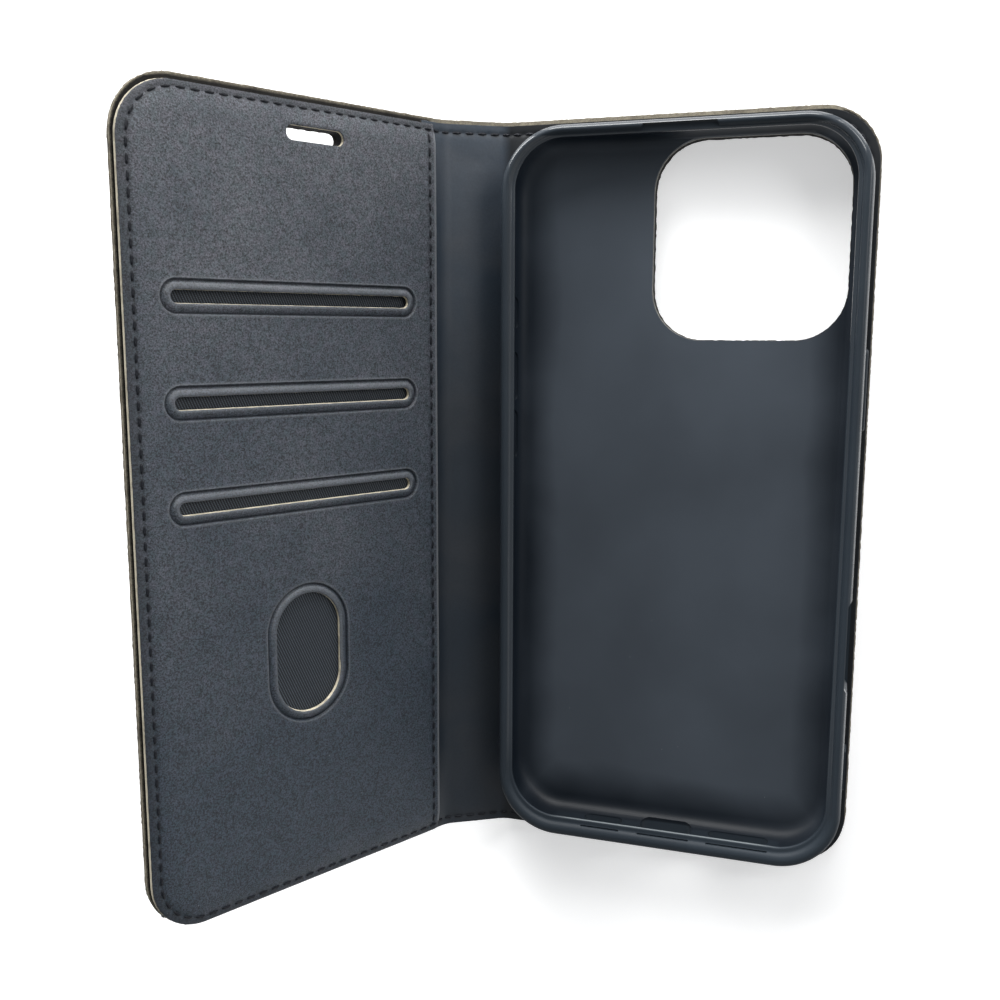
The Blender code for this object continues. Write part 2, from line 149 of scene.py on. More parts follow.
def face_loops(name, panel):
    """Outline and openings of a CAD sheet's inner face, largest first, as arrays of (s, y)."""
    points = to_sheet(node_points(name), panel)
    keys = {}
    index = [keys.setdefault(tuple(np.round(p / 1e-6).astype(int)), len(keys)) for p in points]
    spots = np.zeros((len(keys), 3))
    spots[index] = points
    level = spots[:, 2] > spots[:, 2].max() - 1e-5
    edges = {}
    for polygon in NODES[name].data.polygons:
        corners = [index[v] for v in polygon.vertices]
        if all(level[corners]):
            edges.update(dict.fromkeys(zip(corners, corners[1:] + corners[:1])))
    rim = {a: b for a, b in edges if (b, a) not in edges}
    loops = []
    while rim:
        loop = [next(iter(rim))]
        step = rim.pop(loop[0])
        while step != loop[0]:
            loop.append(step)
            step = rim.pop(step)
        loops.append(spots[loop][:, :2])
    return sorted(loops, key=lambda loop: -np.prod(np.ptp(loop, axis=0)))


def rounded_box(loop):
    """Centre, half size and corner radius of a loop that is a rounded rectangle."""
    low, high = loop.min(0), loop.max(0)
    at_side = loop[np.abs(loop[:, 0] - high[0]) < 2e-6]
    radius = (high[1] - low[1] - np.ptp(at_side[:, 1])) / 2
    return (low + high) / 2, (high - low) / 2, radius


def leaf(name, panel):
    """Outline of a sheet up to its free edge: end, lowest and highest y, corner radius."""
    loop = face_loops(name, panel)[0]
    end = loop[:, 0].max() if panel == "cover" else loop[:, 0].min()
    at_end = loop[np.abs(loop[:, 0] - end) < 2e-6][:, 1]
    low, high = loop[:, 1].min(), loop[:, 1].max()
    return end, low, high, at_end.min() - low


def drawn_in(shape, inset):
    """A leaf outline moved inwards all round by inset."""
    end, low, high, radius = shape
    return end - math.copysign(inset, end), low + inset, high - inset, radius - inset


# Sizes of the layers and outlines, from the frame.
LEATHER = levels("back_outer_leather", "back")[1]
BOARD = levels("back_stiffener_board", "back")
LINING = levels("back_lining", "back")
PANEL = levels("card_pocket_panel", "cover")
THREAD = 0.6 * MM
OUTER_LEAF = {side: leaf(f"{side}_outer_leather", side) for side in SIDES}
BOARD_LEAF = {side: leaf(f"{side}_stiffener_board", side) for side in SIDES}
SEAM_LEAF = {side: drawn_in(leaf(f"{side}_edge_stitching", side), THREAD / 2) for side in SIDES}
LINING_LEAF = leaf("back_lining", "back")
PANEL_LEAF = leaf("card_pocket_panel", "cover")
PANEL_START = sheet_box("card_pocket_panel", "cover")[0][0]
COLUMN_S = float(np.mean([corner[0] for corner in sheet_box("pocket_seam_stitching", "cover")]))

# Openings. OPENING is the one that goes through each side's outer leather and board.
CAMERA_HOLE = rounded_box(face_loops("back_lining", "back")[1])
PANEL_OPENINGS = [rounded_box(loop) for loop in face_loops("card_pocket_panel", "cover")[1:]]
PANEL_OPENINGS.sort(key=lambda shape: -shape[0][1])
EARPIECE, *RIMMED = PANEL_OPENINGS  # from the top: the earpiece slot, three card slots and the window
OPENING = {"cover": EARPIECE, "back": CAMERA_HOLE}

# Sewing and cut edges.
PITCH = 3.06 * MM
STITCH_SHARE = 0.66
GROOVE = 0.14 * MM
PUNCH = 0.12 * MM
RAGGED = 0.07 * MM
SHARP = math.radians(42)  # edges that turn more than this stay sharp

random.seed(7)
rng = np.random.default_rng(7)


# ---- outlines


def arc(centre, radius, start, steps):
    turn = start + np.linspace(0, math.pi / 2, steps + 1)
    return np.stack([centre[0] + radius * np.cos(turn), centre[1] + radius * np.sin(turn)], 1)


def box_loop(low, high, radii, steps=12):
    """Counter-clockwise rounded rectangle; radii at (high, high), (low, high), (low, low), (high, low)."""
    parts = []
    for i, (x, y) in enumerate(((1, 1), (0, 1), (0, 0), (1, 0))):
        corner = np.array([(low, high)[x][0], (low, high)[y][1]])
        middle = corner - radii[i] * np.array([2 * x - 1, 2 * y - 1])
        rounded = radii[i] > 1e-6
        parts.append(arc(middle, radii[i], i * math.pi / 2, steps) if rounded else corner[None])
    return np.concatenate(parts)


def offset_loop(shape, distance, steps=12):
    """The outline of a rounded box, moved outwards by distance."""
    centre, half, radius = shape
    half = np.asarray(half) + distance
    r = min(radius + distance, min(half) * 0.999)
    return box_loop(centre - half, centre + half, (r,) * 4, steps)


def resample(loop, step, closed=True):
    """The same line with points no further apart than step; its own points are kept."""
    ends = np.roll(loop, -1, axis=0) if closed else loop[1:]
    starts = loop if closed else loop[:-1]
    points = []
    for a, b in zip(starts, ends):
        count = max(1, math.ceil(np.linalg.norm(b - a) / step - 1e-6))
        points += [a + (b - a) * k / count for k in range(count)]
    if not closed:
        points.append(loop[-1])
    return np.array(points)


def box_distance(s, y, shape):
    """Signed distance from points to a rounded box, negative inside."""
    centre, half, radius = shape
    qs = np.abs(s - centre[0]) - half[0] + radius
    qy = np.abs(y - centre[1]) - half[1] + radius
    return np.minimum(np.maximum(qs, qy), 0) + np.hypot(np.maximum(qs, 0), np.maximum(qy, 0)) - radius


def inside(points, loop):
    """Which points lie inside a loop, by crossings."""
    x, y = points[:, 0], points[:, 1]
    hit = np.zeros(len(points), bool)
    for (x0, y0), (x1, y1) in zip(loop, np.roll(loop, -1, axis=0)):
        if y0 == y1:
            continue
        spans = (y0 > y) != (y1 > y)
        hit ^= spans & (x < (x1 - x0) * (y - y0) / (y1 - y0) + x0)
    return hit


def clear(points, outline, openings=(), gap=0.6 * MM):
    """The points inside an outline and further than gap from its openings."""
    points = points[inside(points, outline)]
    for shape in openings:
        points = points[box_distance(points[:, 0], points[:, 1], shape) > gap]
    return points


def leaf_box(shape, start):
    """A leaf outline as a rounded box whose other end lies far beyond start."""
    end, low, high, radius = shape
    far = start - math.copysign(4 * radius, end - start)
    centre = np.array([(far + end) / 2, (low + high) / 2])
    half = np.array([abs(end - far) / 2, (high - low) / 2])
    return centre, half, radius


def leaf_loop(shape, start, step=1.0 * MM):
    """A closed outline: square at start and rounded at the free edge."""
    end, low, high, r = shape
    if end > start:
        loop = box_loop((start, low), (end, high), (r, 0, 0, r))
    else:
        loop = box_loop((end, low), (start, high), (0, r, r, 0))
    return resample(loop, step)


def seam_path(shape, side, fold):
    """The edge seam from the fold end of the bottom edge, round the free edge, to the top edge."""
    end, low, high, r = shape
    lower = arc((abs(end) - r, low + r), r, -math.pi / 2, 10)
    upper = arc((abs(end) - r, high - r), r, 0, 10)
    turn = np.concatenate([lower, upper]) * (side, 1)
    return np.concatenate([[(fold, low)], turn, [(fold, high)]])


def tree_of(points):
    """A search tree of flat points."""
    tree = kdtree.KDTree(len(points))
    for i, (a, b) in enumerate(points):
        tree.insert((a, b, 0), i)
    tree.balance()
    return tree


def near(s, y, cloud, width):
    """1 on a cloud of points, falling off over width."""
    tree = tree_of(cloud)
    gap = np.array([tree.find((a, b, 0))[2] for a, b in zip(s, y)])
    return np.exp(-((gap / width) ** 2))


class Seam:
    """Stitches spaced along a path. Distances to the path and to each stitch shape the leather."""

    def __init__(self, path):
        lengths = np.linalg.norm(np.diff(path, axis=0), axis=1)
        self.path = path
        self.run = np.concatenate([[0], np.cumsum(lengths)])
        self.count = max(1, round(self.run[-1] / PITCH))
        self.pitch = self.run[-1] / self.count
        self.line = self.spots(np.arange(0, self.run[-1], 0.25 * MM))
        self.holes = self.spots(np.arange(self.count + 1) * self.pitch)

    def spots(self, distance):
        """Points on the path at the given distances."""
        distance = np.clip(distance, 0, self.run[-1])
        return np.stack([np.interp(distance, self.run, self.path[:, k]) for k in (0, 1)], 1)

    def at(self, distance):
        """Points on the path at the given distances, and the unit normals there."""
        distance = np.clip(distance, 0, self.run[-1])
        ahead = self.spots(distance + 0.1 * MM) - self.spots(distance - 0.1 * MM)
        ahead = ahead / np.linalg.norm(ahead, axis=1)[:, None]
        return self.spots(distance), np.stack([-ahead[:, 1], ahead[:, 0]], 1)

    def rows(self):
        """Points along and either side of the path, to refine a mesh there."""
        points, side = self.at(np.arange(0, self.run[-1], SEAM_STEP))
        return np.concatenate([points + side * offset for offset in SEAM_OFFSETS])

    def depth(self, s, y):
        """How far the leather is pulled in along the seam, deepest where the thread goes through."""
        return GROOVE * near(s, y, self.line, 0.60 * MM) + PUNCH * near(s, y, self.holes, 0.42 * MM)

    def stain(self, s, y):
        """Painted shade along the thread's groove, but for the bulges between stitches."""
        bulge = near(s, y, self.holes, 0.50 * MM)
        return 0.60 * near(s, y, self.line, 0.46 * MM) * (1 - bulge)


# ---- meshes


def link(name, data):
    holder = bpy.data.objects.new(name, data)
    bpy.context.scene.collection.objects.link(holder)
    return holder


def new_piece(name, points, faces, materials, face_slots=None, sheet=None, stain=None):
    """A mesh piece with outward normals, smooth but for its real edges."""
    mesh = bpy.data.meshes.new(name)
    mesh.from_pydata([tuple(p) for p in points], [], [tuple(int(i) for i in f) for f in faces])
    for material in materials:
        mesh.materials.append(material)
    if face_slots is not None:
        mesh.polygons.foreach_set("material_index", np.asarray(face_slots, np.int32))
    carried = (("sheet", "FLOAT_VECTOR", "vector", sheet), ("stain", "FLOAT", "value", stain))
    for label, kind, key, values in carried:
        if values is not None:
            attribute = mesh.attributes.new(label, kind, "POINT")
            attribute.data.foreach_set(key, np.asarray(values, np.float32).ravel())
    shape = bmesh.new()
    shape.from_mesh(mesh)
    bmesh.ops.recalc_face_normals(shape, faces=shape.faces)
    shape.to_mesh(mesh)
    shape.free()
    mesh.shade_smooth()
    mesh.set_sharp_from_angle(angle=SHARP)
    return link(name, mesh)


def grid_points(low, high, steps, folds=()):
    """A regular grid, with extra columns across each fold."""
    columns = list(np.arange(low[0] + steps[0] / 2, high[0], steps[0]))
    for fold in folds:
        columns = [c for c in columns if abs(c - fold) > 5.2 * MM]
        columns += [c for c in np.arange(fold - 5 * MM, fold + 5.01 * MM, 0.5 * MM) if low[0] < c < high[0]]
    rows = np.arange(low[1] + steps[1] / 2, high[1], steps[1])
    return np.array([(c, r) for c in sorted(columns) for r in rows])


def triangulate(loops, holes, extra, grid):
    """Flat triangles inside the first loop and outside the holes: their points and corners."""
    fixed = np.concatenate([*loops, extra])
    tree = tree_of(fixed)
    free = [p for p in grid if tree.find((p[0], p[1], 0))[2] > 0.45 * MM]
    points = np.concatenate([fixed, np.reshape(free, (-1, 2))])
    edges = []
    start = 0
    for loop in loops:
        edges += [(start + i, start + (i + 1) % len(loop)) for i in range(len(loop))]
        start += len(loop)
    solved = delaunay_2d_cdt([Vector(p / MM) for p in points], edges, [], 0, 1e-5)
    flat = np.array([tuple(v) for v in solved[0]]) * MM
    triangles = np.array([f for f in solved[2] if len(f) == 3])
    middles = flat[triangles].mean(1)
    keep = inside(middles, loops[0])
    for hole in holes:
        keep &= ~inside(middles, hole)
    used, triangles = np.unique(triangles[keep], return_inverse=True)
    triangles = triangles.reshape(-1, 3)
    flat = flat[used]
    a, b, c = (flat[triangles[:, k]] for k in range(3))
    turn = (b[:, 0] - a[:, 0]) * (c[:, 1] - a[:, 1]) - (b[:, 1] - a[:, 1]) * (c[:, 0] - a[:, 0])
    triangles[turn < 0] = triangles[turn < 0][:, ::-1]
    return flat, triangles


def outward_at(flat, border):
    """Each cut point's outward direction; 0 inside the sheet and at the split in the spine."""
    outward = np.zeros_like(flat)
    for i, j in border:
        edge = flat[j] - flat[i]
        normal = np.array([edge[1], -edge[0]]) / (np.linalg.norm(edge) + 1e-12)
        outward[i] += normal
        outward[j] += normal
    at_cut = np.linalg.norm(outward, axis=1) > 1e-9
    outward[at_cut] /= np.linalg.norm(outward[at_cut], axis=1)[:, None]
    outward[np.abs(flat[:, 0] - MIDDLE) < 1e-7] = 0
    return outward


def sheet(name, rim, holes, rings, extra, grid, top, base, materials, ragged=RAGGED, bevel=0.0, stain=None):
    """A closed sheet of leather or cloth.

    rim and holes are its cut outlines, rings and extra are lines and points that carry detail,
    grid fills the rest, and top and base give the height of its two faces. The wall of each cut
    takes the second material, bevel is how far its upper edge draws back (a number, or a
    function of place), and the last argument gives the sheet's painted shade (above 0) and painted
    highlights (below 0).
    """
    flat, triangles = triangulate([rim, *holes, *rings], holes, extra, grid)
    directed = {(t[i], t[(i + 1) % 3]): True for t in triangles for i in range(3)}
    border = [edge for edge in directed if edge[::-1] not in directed]
    outward = outward_at(flat, border)
    high, low = top(*flat.T), base(*flat.T)
    count = len(flat)
    draw_back = bevel(*flat.T) if callable(bevel) else np.full(count, bevel)
    rows = [np.column_stack([flat - outward * draw_back[:, None], high]), np.column_stack([flat, low])]
    faces = [tuple(t) for t in triangles] + [tuple(t[::-1] + count) for t in triangles]
    slots = [0] * len(triangles) + [2 if len(materials) > 2 else 0] * len(triangles)

    chosen = np.array(sorted({i for edge in border for i in edge}))
    position = {v: k for k, v in enumerate(chosen)}
    wall = [chosen]
    for step, share in enumerate((0.80, 0.45, 0.15)):
        fray = ragged * (rng.random(len(chosen)) - 0.3)
        draw = draw_back[chosen] * share ** 2 * 0.8
        spot = flat[chosen] + outward[chosen] * (fray - draw)[:, None]
        rows.append(np.column_stack([spot, low[chosen] + (high[chosen] - low[chosen]) * share]))
        wall.append(np.arange(len(chosen)) + 2 * count + step * len(chosen))
    wall.append(chosen + count)
    for row, (above, below) in enumerate(zip(wall, wall[1:])):
        for i, j in border:
            faces.append((above[position[i]], below[position[i]], below[position[j]], above[position[j]]))
            slots.append(0 if row == 0 else 1)
    points = np.concatenate(rows)
    shading_values = stain(points[:, 0], points[:, 1]) if stain else None
    return new_piece(name, place(*points.T), faces, materials, slots, points, shading_values)


def waves(s, y, height, scale, seed):
    """Slow unevenness of a real sheet."""
    return height * np.array([noise.noise((a / scale, b / scale, seed)) for a, b in zip(s, y)])


def stack(count, rows, start=0):
    """Faces between rows of count points each, the first numbered start, with a cap at both ends."""
    faces = []
    for first in range(start, start + (rows - 1) * count, count):
        for i in range(count):
            a, b = first + i, first + (i + 1) % count
            faces.append((a, b, b + count, a + count))
    last = start + (rows - 1) * count
    return faces + [tuple(range(start, start + count))[::-1], tuple(range(last, last + count))]


def stitches(name, seam, surface, direction, width=0.28 * MM):
    """Two-ply thread: one bead for each stitch, diving into the leather at both ends.

    surface gives the height the thread lies on, and direction is 1 on an inner face, -1 on an outer.
    """
    lengthwise, around = 11, 10
    t = np.linspace(-1, 1, lengthwise)
    lift = 0.22 * MM * (1 - np.abs(t) ** 3) - 0.20 * MM
    points, faces = [], []
    for index in range(seam.count):
        middle = (index + 0.5) * seam.pitch
        reach = seam.pitch * STITCH_SHARE / 2 * (0.97 + 0.06 * random.random())
        drift = (random.random() - 0.5) * 0.06 * MM
        centre, side = seam.at(middle + reach * t)
        base = surface(*centre.T)
        faces += stack(around, lengthwise, len(points))
        for k in range(lengthwise):
            swell = width * (0.55 + 0.45 * math.sqrt(max(0.0, 1 - t[k] ** 4)))
            for turn in np.arange(around) * 2 * math.pi / around:
                ply = 1 + 0.16 * math.cos(2 * (turn - 2.6 * t[k]))
                spot = centre[k] + side[k] * (swell * ply * math.cos(turn) + drift)
                up = 0.72 * swell * ply * math.sin(turn) + lift[k]
                points.append((spot[0], spot[1], base[k] + direction * up))
    points = np.array(points)
    return new_piece(name, place(*points.T), faces, [THREAD_DARK], None, points)


def settle(piece, nodes=(), body=None):
    """Gives a piece its body and hides the CAD nodes it stands in for."""
    if body:
        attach(piece, body)
    if nodes:
        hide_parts(*nodes)


# ---- materials


class Shader:
    """A material's node tree, with short calls for the nodes it needs."""

    def __init__(self, name):
        self.material = bpy.data.materials.new(name)
        self.material.use_nodes = True
        self.tree = self.material.node_tree
        self.surface = self.tree.nodes["Principled BSDF"]
        self.normal = None

    def node(self, kind, inputs=None, **settings):
        made = self.tree.nodes.new("ShaderNode" + kind)
        for key, value in settings.items():
            setattr(made, key, value)
        for key, value in (inputs or {}).items():
            self.put(made.inputs[key], value)
        return made

    def put(self, socket, value):
        if isinstance(value, bpy.types.NodeSocket):
            self.tree.links.new(value, socket)
        elif isinstance(value, tuple) and len(value) == 3 and socket.type == "RGBA":
            socket.default_value = (*value, 1.0)
        else:
            socket.default_value = value

    def math(self, operation, a, b=0.0, clamp=False):
        return self.node("Math", {0: a, 1: b}, operation=operation, use_clamp=clamp).outputs[0]

    def times(self, a, b, clamp=False):
        return self.math("MULTIPLY", a, b, clamp)

    def add(self, a, b, clamp=False):
        return self.math("ADD", a, b, clamp)

    def on_sheet(self):
        """Where a point lies on its sheet."""
        return self.node("Attribute", attribute_name="sheet").outputs["Vector"]

    def on_body(self, stretch=(1, 1, 1)):
        """Where a point lies on its body."""
        source = self.node("TexCoord").outputs["Object"]
        return self.node("Mapping", {"Vector": source, "Scale": stretch}).outputs[0]

    def split(self, vector):
        return self.node("SeparateXYZ", {0: vector}).outputs

    def stain(self, sign=1.0):
        """How much this spot is darkened, by painted shade and by darker bands, or, with sign -1, how much
        a painted highlight lightens it.
        """
        return self.times(self.node("Attribute", attribute_name="stain").outputs["Fac"], sign, True)

    def noise(self, vector, size, detail=3.0, roughness=0.5, distortion=0.0):
        """Noise whose blotches are about size metres across."""
        inputs = {"Vector": vector, "Scale": 1 / size, "Detail": detail}
        inputs.update({"Roughness": roughness, "Distortion": distortion})
        return self.node("TexNoise", inputs).outputs["Fac"]

    def cells(self, vector, size, feature="F1"):
        inputs = {"Vector": vector, "Scale": 1 / size}
        return self.node("TexVoronoi", inputs, feature=feature).outputs["Distance"]

    def span(self, value, low, high, to_low=0.0, to_high=1.0):
        inputs = {"Value": value, 1: low, 2: high, 3: to_low, 4: to_high}
        return self.node("MapRange", inputs).outputs[0]

    def mix(self, share, a, b, blend="MIX"):
        made = self.node("Mix", {0: share}, data_type="RGBA", blend_type=blend)
        self.put(made.inputs[6], a)
        self.put(made.inputs[7], b)
        return made.outputs[2]

    def shade(self, colour, factor):
        """The colour times a factor."""
        grey = self.node("CombineXYZ", {0: factor, 1: factor, 2: factor}).outputs[0]
        return self.mix(1.0, colour, grey, "MULTIPLY")

    def bump(self, height, distance, strength=1.0):
        inputs = {"Height": height, "Distance": distance, "Strength": strength}
        if self.normal is not None:
            inputs["Normal"] = self.normal
        self.normal = self.node("Bump", inputs).outputs[0]

    def finish(self, colour, roughness, **others):
        inputs = {"Base Color": colour, "Roughness": roughness}
        for key, value in others.items():
            inputs[key.replace("_", " ").title().replace("Ior", "IOR")] = value
        if self.normal is not None:
            inputs["Normal"] = self.normal
        for key, value in inputs.items():
            self.put(self.surface.inputs[key], value)
        return self.material


def slate_leather(name, warm, cool, dark):
    """Oiled slate leather: painted light makes it paler towards the top and darker towards the bottom;
    mottled, with a fine nap and pale specks.
    """
    made = Shader(name)
    where = made.on_sheet()
    clouds = made.noise(where, 34 * MM, 4, 0.55, 0.6)
    smudge = made.noise(where, 9 * MM, 5, 0.6, 0.4)
    # Painted light: the sheet is made paler towards its top and darker towards its bottom.
    painted_light = made.span(made.split(where)[1], -60 * MM, 80 * MM, -0.30, 0.70)
    colour = made.mix(made.add(made.span(clouds, 0.35, 0.70, 0.0, 0.45), painted_light, True), cool, warm)
    colour = made.mix(made.span(smudge, 0.50, 0.72, 0, 0.40), colour, dark)
    mottle = made.noise(where, 2.0 * MM, 3, 0.6)
    tint = made.mix(made.span(mottle, 0.38, 0.62), (0.86, 0.95, 0.94), (1.14, 1.05, 1.10))
    colour = made.mix(0.85, colour, tint, "MULTIPLY")
    nap = made.noise(where, 0.35 * MM, 2, 0.7)
    fine = made.noise(where, 0.18 * MM, 2, 0.6)
    grain = made.add(made.span(nap, 0.35, 0.65, 0.26, 1.74), made.span(fine, 0.36, 0.64, -0.2, 0.2))
    colour = made.shade(colour, grain)
    speck = made.span(made.cells(where, 2.6 * MM), 0.035, 0.055, 0.5, 0.0)
    speck = made.times(speck, made.span(smudge, 0.5, 0.52))
    colour = made.mix(speck, colour, (0.22, 0.24, 0.25))
    # Painted highlights where the sheet's shading is below 0, and painted shade, near black, where it is
    # above 0.
    colour = made.mix(made.stain(-1.0), colour, (0.22, 0.23, 0.245))
    colour = made.mix(made.stain(), colour, (0.004, 0.005, 0.008))
    made.bump(made.noise(where, 5 * MM, 3), 0.12 * MM, 0.5)
    made.bump(made.cells(where, 0.55 * MM), 0.05 * MM, 0.7)
    made.bump(nap, 0.07 * MM, 1.0)
    return made.finish(colour, made.span(smudge, 0.3, 0.7, 0.52, 0.66), specular_ior_level=0.45)


def raw_edge(name, pale, tan, dark):
    """Cut edge: felted backing fibres, with the dark finish rubbed over it in places."""
    made = Shader(name)
    where = made.on_sheet()
    fibres = made.noise(where, 0.35 * MM, 4, 0.7, 0.8)
    patches = made.noise(where, 4 * MM, 3, 0.6)
    colour = made.mix(made.span(fibres, 0.35, 0.65), pale, tan)
    colour = made.mix(made.span(patches, 0.50, 0.70, 0.0, 0.7), colour, dark)
    # Painted shade, near black, from the sheet's shading: at the thread, in grooves and round openings,
    # with the darker margins and bands.
    colour = made.mix(made.stain(), colour, (0.006, 0.006, 0.007))
    made.bump(fibres, 0.10 * MM, 1.0)
    return made.finish(colour, 0.9, specular_ior_level=0.2)


def smooth_lining(name, base, warm):
    """Smooth coated lining: soft clouds and creases, painted light making it paler up the spine, and
    painted shade darkening it on the back.
    """
    made = Shader(name)
    where = made.on_sheet()
    s, y, _ = made.split(where)
    clouds = made.noise(where, 22 * MM, 4, 0.55, 0.5)
    fine = made.noise(where, 0.5 * MM, 3, 0.6)
    colour = made.mix(made.span(clouds, 0.4, 0.65), base, warm)
    # Painted light makes the spine paler towards its top, and painted shade darkens the back lining beside
    # the tray.
    on_spine = made.span(s, -1 * MM, 1.5 * MM)
    lit_tone = made.times(made.span(y, 20 * MM, 84 * MM, 0.0, 1.2), on_spine)
    colour = made.shade(colour, made.add(lit_tone, made.span(on_spine, 0.0, 1.0, 0.35, 1.0)))
    colour = made.shade(colour, made.span(fine, 0.3, 0.7, 0.88, 1.12))
    speck = made.span(made.cells(where, 5.5 * MM), 0.012, 0.02, 0.6, 0.0)
    colour = made.mix(speck, colour, (0.15, 0.15, 0.15))
    # Painted shade, near black, along the seam.
    colour = made.mix(made.stain(), colour, (0.003, 0.004, 0.006))
    made.bump(made.noise(where, 7 * MM, 3, 0.5), 0.20 * MM, 0.5)
    made.bump(fine, 0.012 * MM, 0.6)
    return made.finish(colour, made.span(clouds, 0.3, 0.7, 0.40, 0.52), specular_ior_level=0.45)


def twill(name, yarn, gap, shine, rib_pitch=0.62 * MM, float_pitch=0.36 * MM, slope=-0.46):
    """Black twill: steep diagonal ribs, each broken into floats."""
    made = Shader(name)
    s, y, _ = made.split(made.on_sheet())
    diagonal = made.add(made.times(s, 1 / rib_pitch), made.times(y, slope / rib_pitch))
    lengthwise = made.add(made.times(y, 1 / float_pitch), made.times(made.math("FLOOR", diagonal), 0.37))
    ribs = made.span(made.math("SINE", made.times(diagonal, 2 * math.pi)), -1, 1)
    floats = made.span(made.math("SINE", made.times(lengthwise, 2 * math.pi)), -1, 1)
    weave = made.times(ribs, made.span(floats, 0, 1, 0.55, 1.0))
    # Painted shade darkens the gaps between the ribs, and a painted sheen lightens their crests.
    colour = made.mix(made.span(weave, 0.1, 0.8), gap, yarn)
    colour = made.mix(made.span(weave, 0.80, 0.98, 0, 0.5), colour, shine)
    made.bump(weave, 0.10 * MM, 1.0)
    return made.finish(colour, 0.62, specular_ior_level=0.4)


def tray_gaps(made, x, y):
    """How far inside the tray's wall a point lies: from the sides, from the ends, and the less of them."""
    from_side = made.math("SUBTRACT", TRAY_HALF[0] - WALL_SIDE, made.math("ABSOLUTE", x))
    off_middle = made.math("SUBTRACT", y, (WALL_BOTTOM - WALL_TOP) / 2)
    reach = TRAY_HALF[1] - (WALL_BOTTOM + WALL_TOP) / 2
    from_end = made.math("SUBTRACT", reach, made.math("ABSOLUTE", off_middle))
    return from_side, from_end, made.math("MINIMUM", from_side, from_end)


def moulded(name, base, lit_tone, deep, painted_light):
    """Satin moulded rubber-like plastic: dull in the corners, with painted shade towards the walls and
    foot, painted light over the middle of the floor and a painted highlight along the bottom lip.
    """
    made = Shader(name)
    where = made.on_body()
    clouds = made.noise(where, 30 * MM, 3, 0.5)
    x, y, z = made.split(where)
    from_side, from_end, gap = tray_gaps(made, x, y)

    # Over the floor: painted shade darkens it towards the walls, over a wider band at the bottom than at
    # the top; painted light makes its upper part paler, and painted shade darkens its foot.
    inner = made.times(made.span(gap, -0.3 * MM, 0.1 * MM), made.span(z, *INNER_LEVELS, 1.0, 0.0))
    widening = made.span(y, -20 * MM, 20 * MM, 0.85, 4.0)
    widened = made.math("MINIMUM", from_side, made.times(from_end, widening))
    uneven = made.add(widened, made.span(clouds, 0.3, 0.7, -1.5 * MM, 1.5 * MM))
    floor_tone = made.mix(made.span(uneven, 1.5 * MM, 10.0 * MM), deep, lit_tone)
    floor_tone = made.shade(floor_tone, made.span(y, 10 * MM, 75 * MM, 1.0, 1.30))
    floor_tone = made.shade(floor_tone, made.span(y, -80 * MM, -71 * MM, 0.65, 1.0))
    colour = made.mix(inner, base, floor_tone)

    # Painted shade darkens the wall of the camera hole, and a painted highlight lies along the edge of the
    # bottom lip.
    cut = made.times(made.span(gap, 2.0 * MM, 2.2 * MM), made.span(z, *CUT_LEVELS, 0.9, 0.0))
    colour = made.shade(made.mix(cut, colour, deep), made.span(clouds, 0.35, 0.65, 0.90, 1.10))
    lip = made.times(made.span(gap, 1.00 * MM, 1.12 * MM), made.span(z, *LIP_LEVELS))
    lip = made.times(lip, made.span(from_side, 11 * MM, 17 * MM, 0.0, 0.9))
    colour = made.mix(made.times(lip, made.span(y, -66 * MM, -74 * MM)), colour, painted_light)
    dust = made.span(made.cells(where, 7.5 * MM), 0.010, 0.016, 0.6, 0.0)
    colour = made.mix(dust, colour, (0.20, 0.21, 0.21))
    made.bump(made.noise(where, 9 * MM, 2), 0.05 * MM, 0.5)
    made.bump(made.noise(where, 0.30 * MM, 2, 0.6), 0.02 * MM, 0.6)

    # Dull inside the wall, on the outer wall and at the foot, and satin elsewhere.
    dull = made.times(made.span(gap, -1.1 * MM, -0.8 * MM), made.span(gap, 0.2 * MM, 0.5 * MM, 1.0, 0.0))
    for patch in (made.span(z, *OUTER_LEVELS, 1.0, 0.0), made.span(y, -58 * MM, -72 * MM)):
        dull = made.math("MAXIMUM", dull, patch)
    roughness = made.add(made.span(clouds, 0.3, 0.7, 0.17, 0.24), made.times(dull, 0.30))
    return made.finish(colour, roughness, specular_ior_level=made.span(dull, 0.0, 1.0, 0.9, 0.22))


def patterned(made, pattern, spread, colours, relief, rough, **others):
    """Finishes a material in which one pattern mixes two colours and gives the relief."""
    colour = made.mix(made.span(pattern, *spread), *colours)
    made.bump(pattern, *relief)
    return made.finish(colour, made.span(pattern, 0.3, 0.7, *rough), **others)


def thread(name, base, light):
    """Waxed polyester thread: fine filaments wound along each ply."""
    made = Shader(name)
    strands = made.noise(made.on_sheet(), 0.12 * MM, 2, 0.6)
    return patterned(
        made, strands, (0.35, 0.7), (base, light), (0.04 * MM, 0.8), (0.55, 0.55), specular_ior_level=0.25)


def fibre_board(name, base, pale):
    made = Shader(name)
    fibres = made.noise(made.on_body(), 0.8 * MM, 5, 0.7, 1.2)
    return patterned(
        made, fibres, (0.3, 0.7), (base, pale), (0.05 * MM, 0.8), (0.9, 0.9), specular_ior_level=0.2)


def plated_metal(name, base, dark, rough):
    made = Shader(name)
    brushed = made.noise(made.on_body((1, 0.04, 1)), 0.12 * MM, 3, 0.6)
    return patterned(made, brushed, (0.3, 0.7), (base, dark), (0.01 * MM, 0.5), rough, metallic=1.0)


def adhesive(name, base, dark):
    made = Shader(name)
    web = made.cells(made.on_body(), 3 * MM, "DISTANCE_TO_EDGE")
    return patterned(
        made, web, (0.02, 0.12), (dark, base), (0.05 * MM, 0.6), (0.6, 0.6), specular_ior_level=0.4)


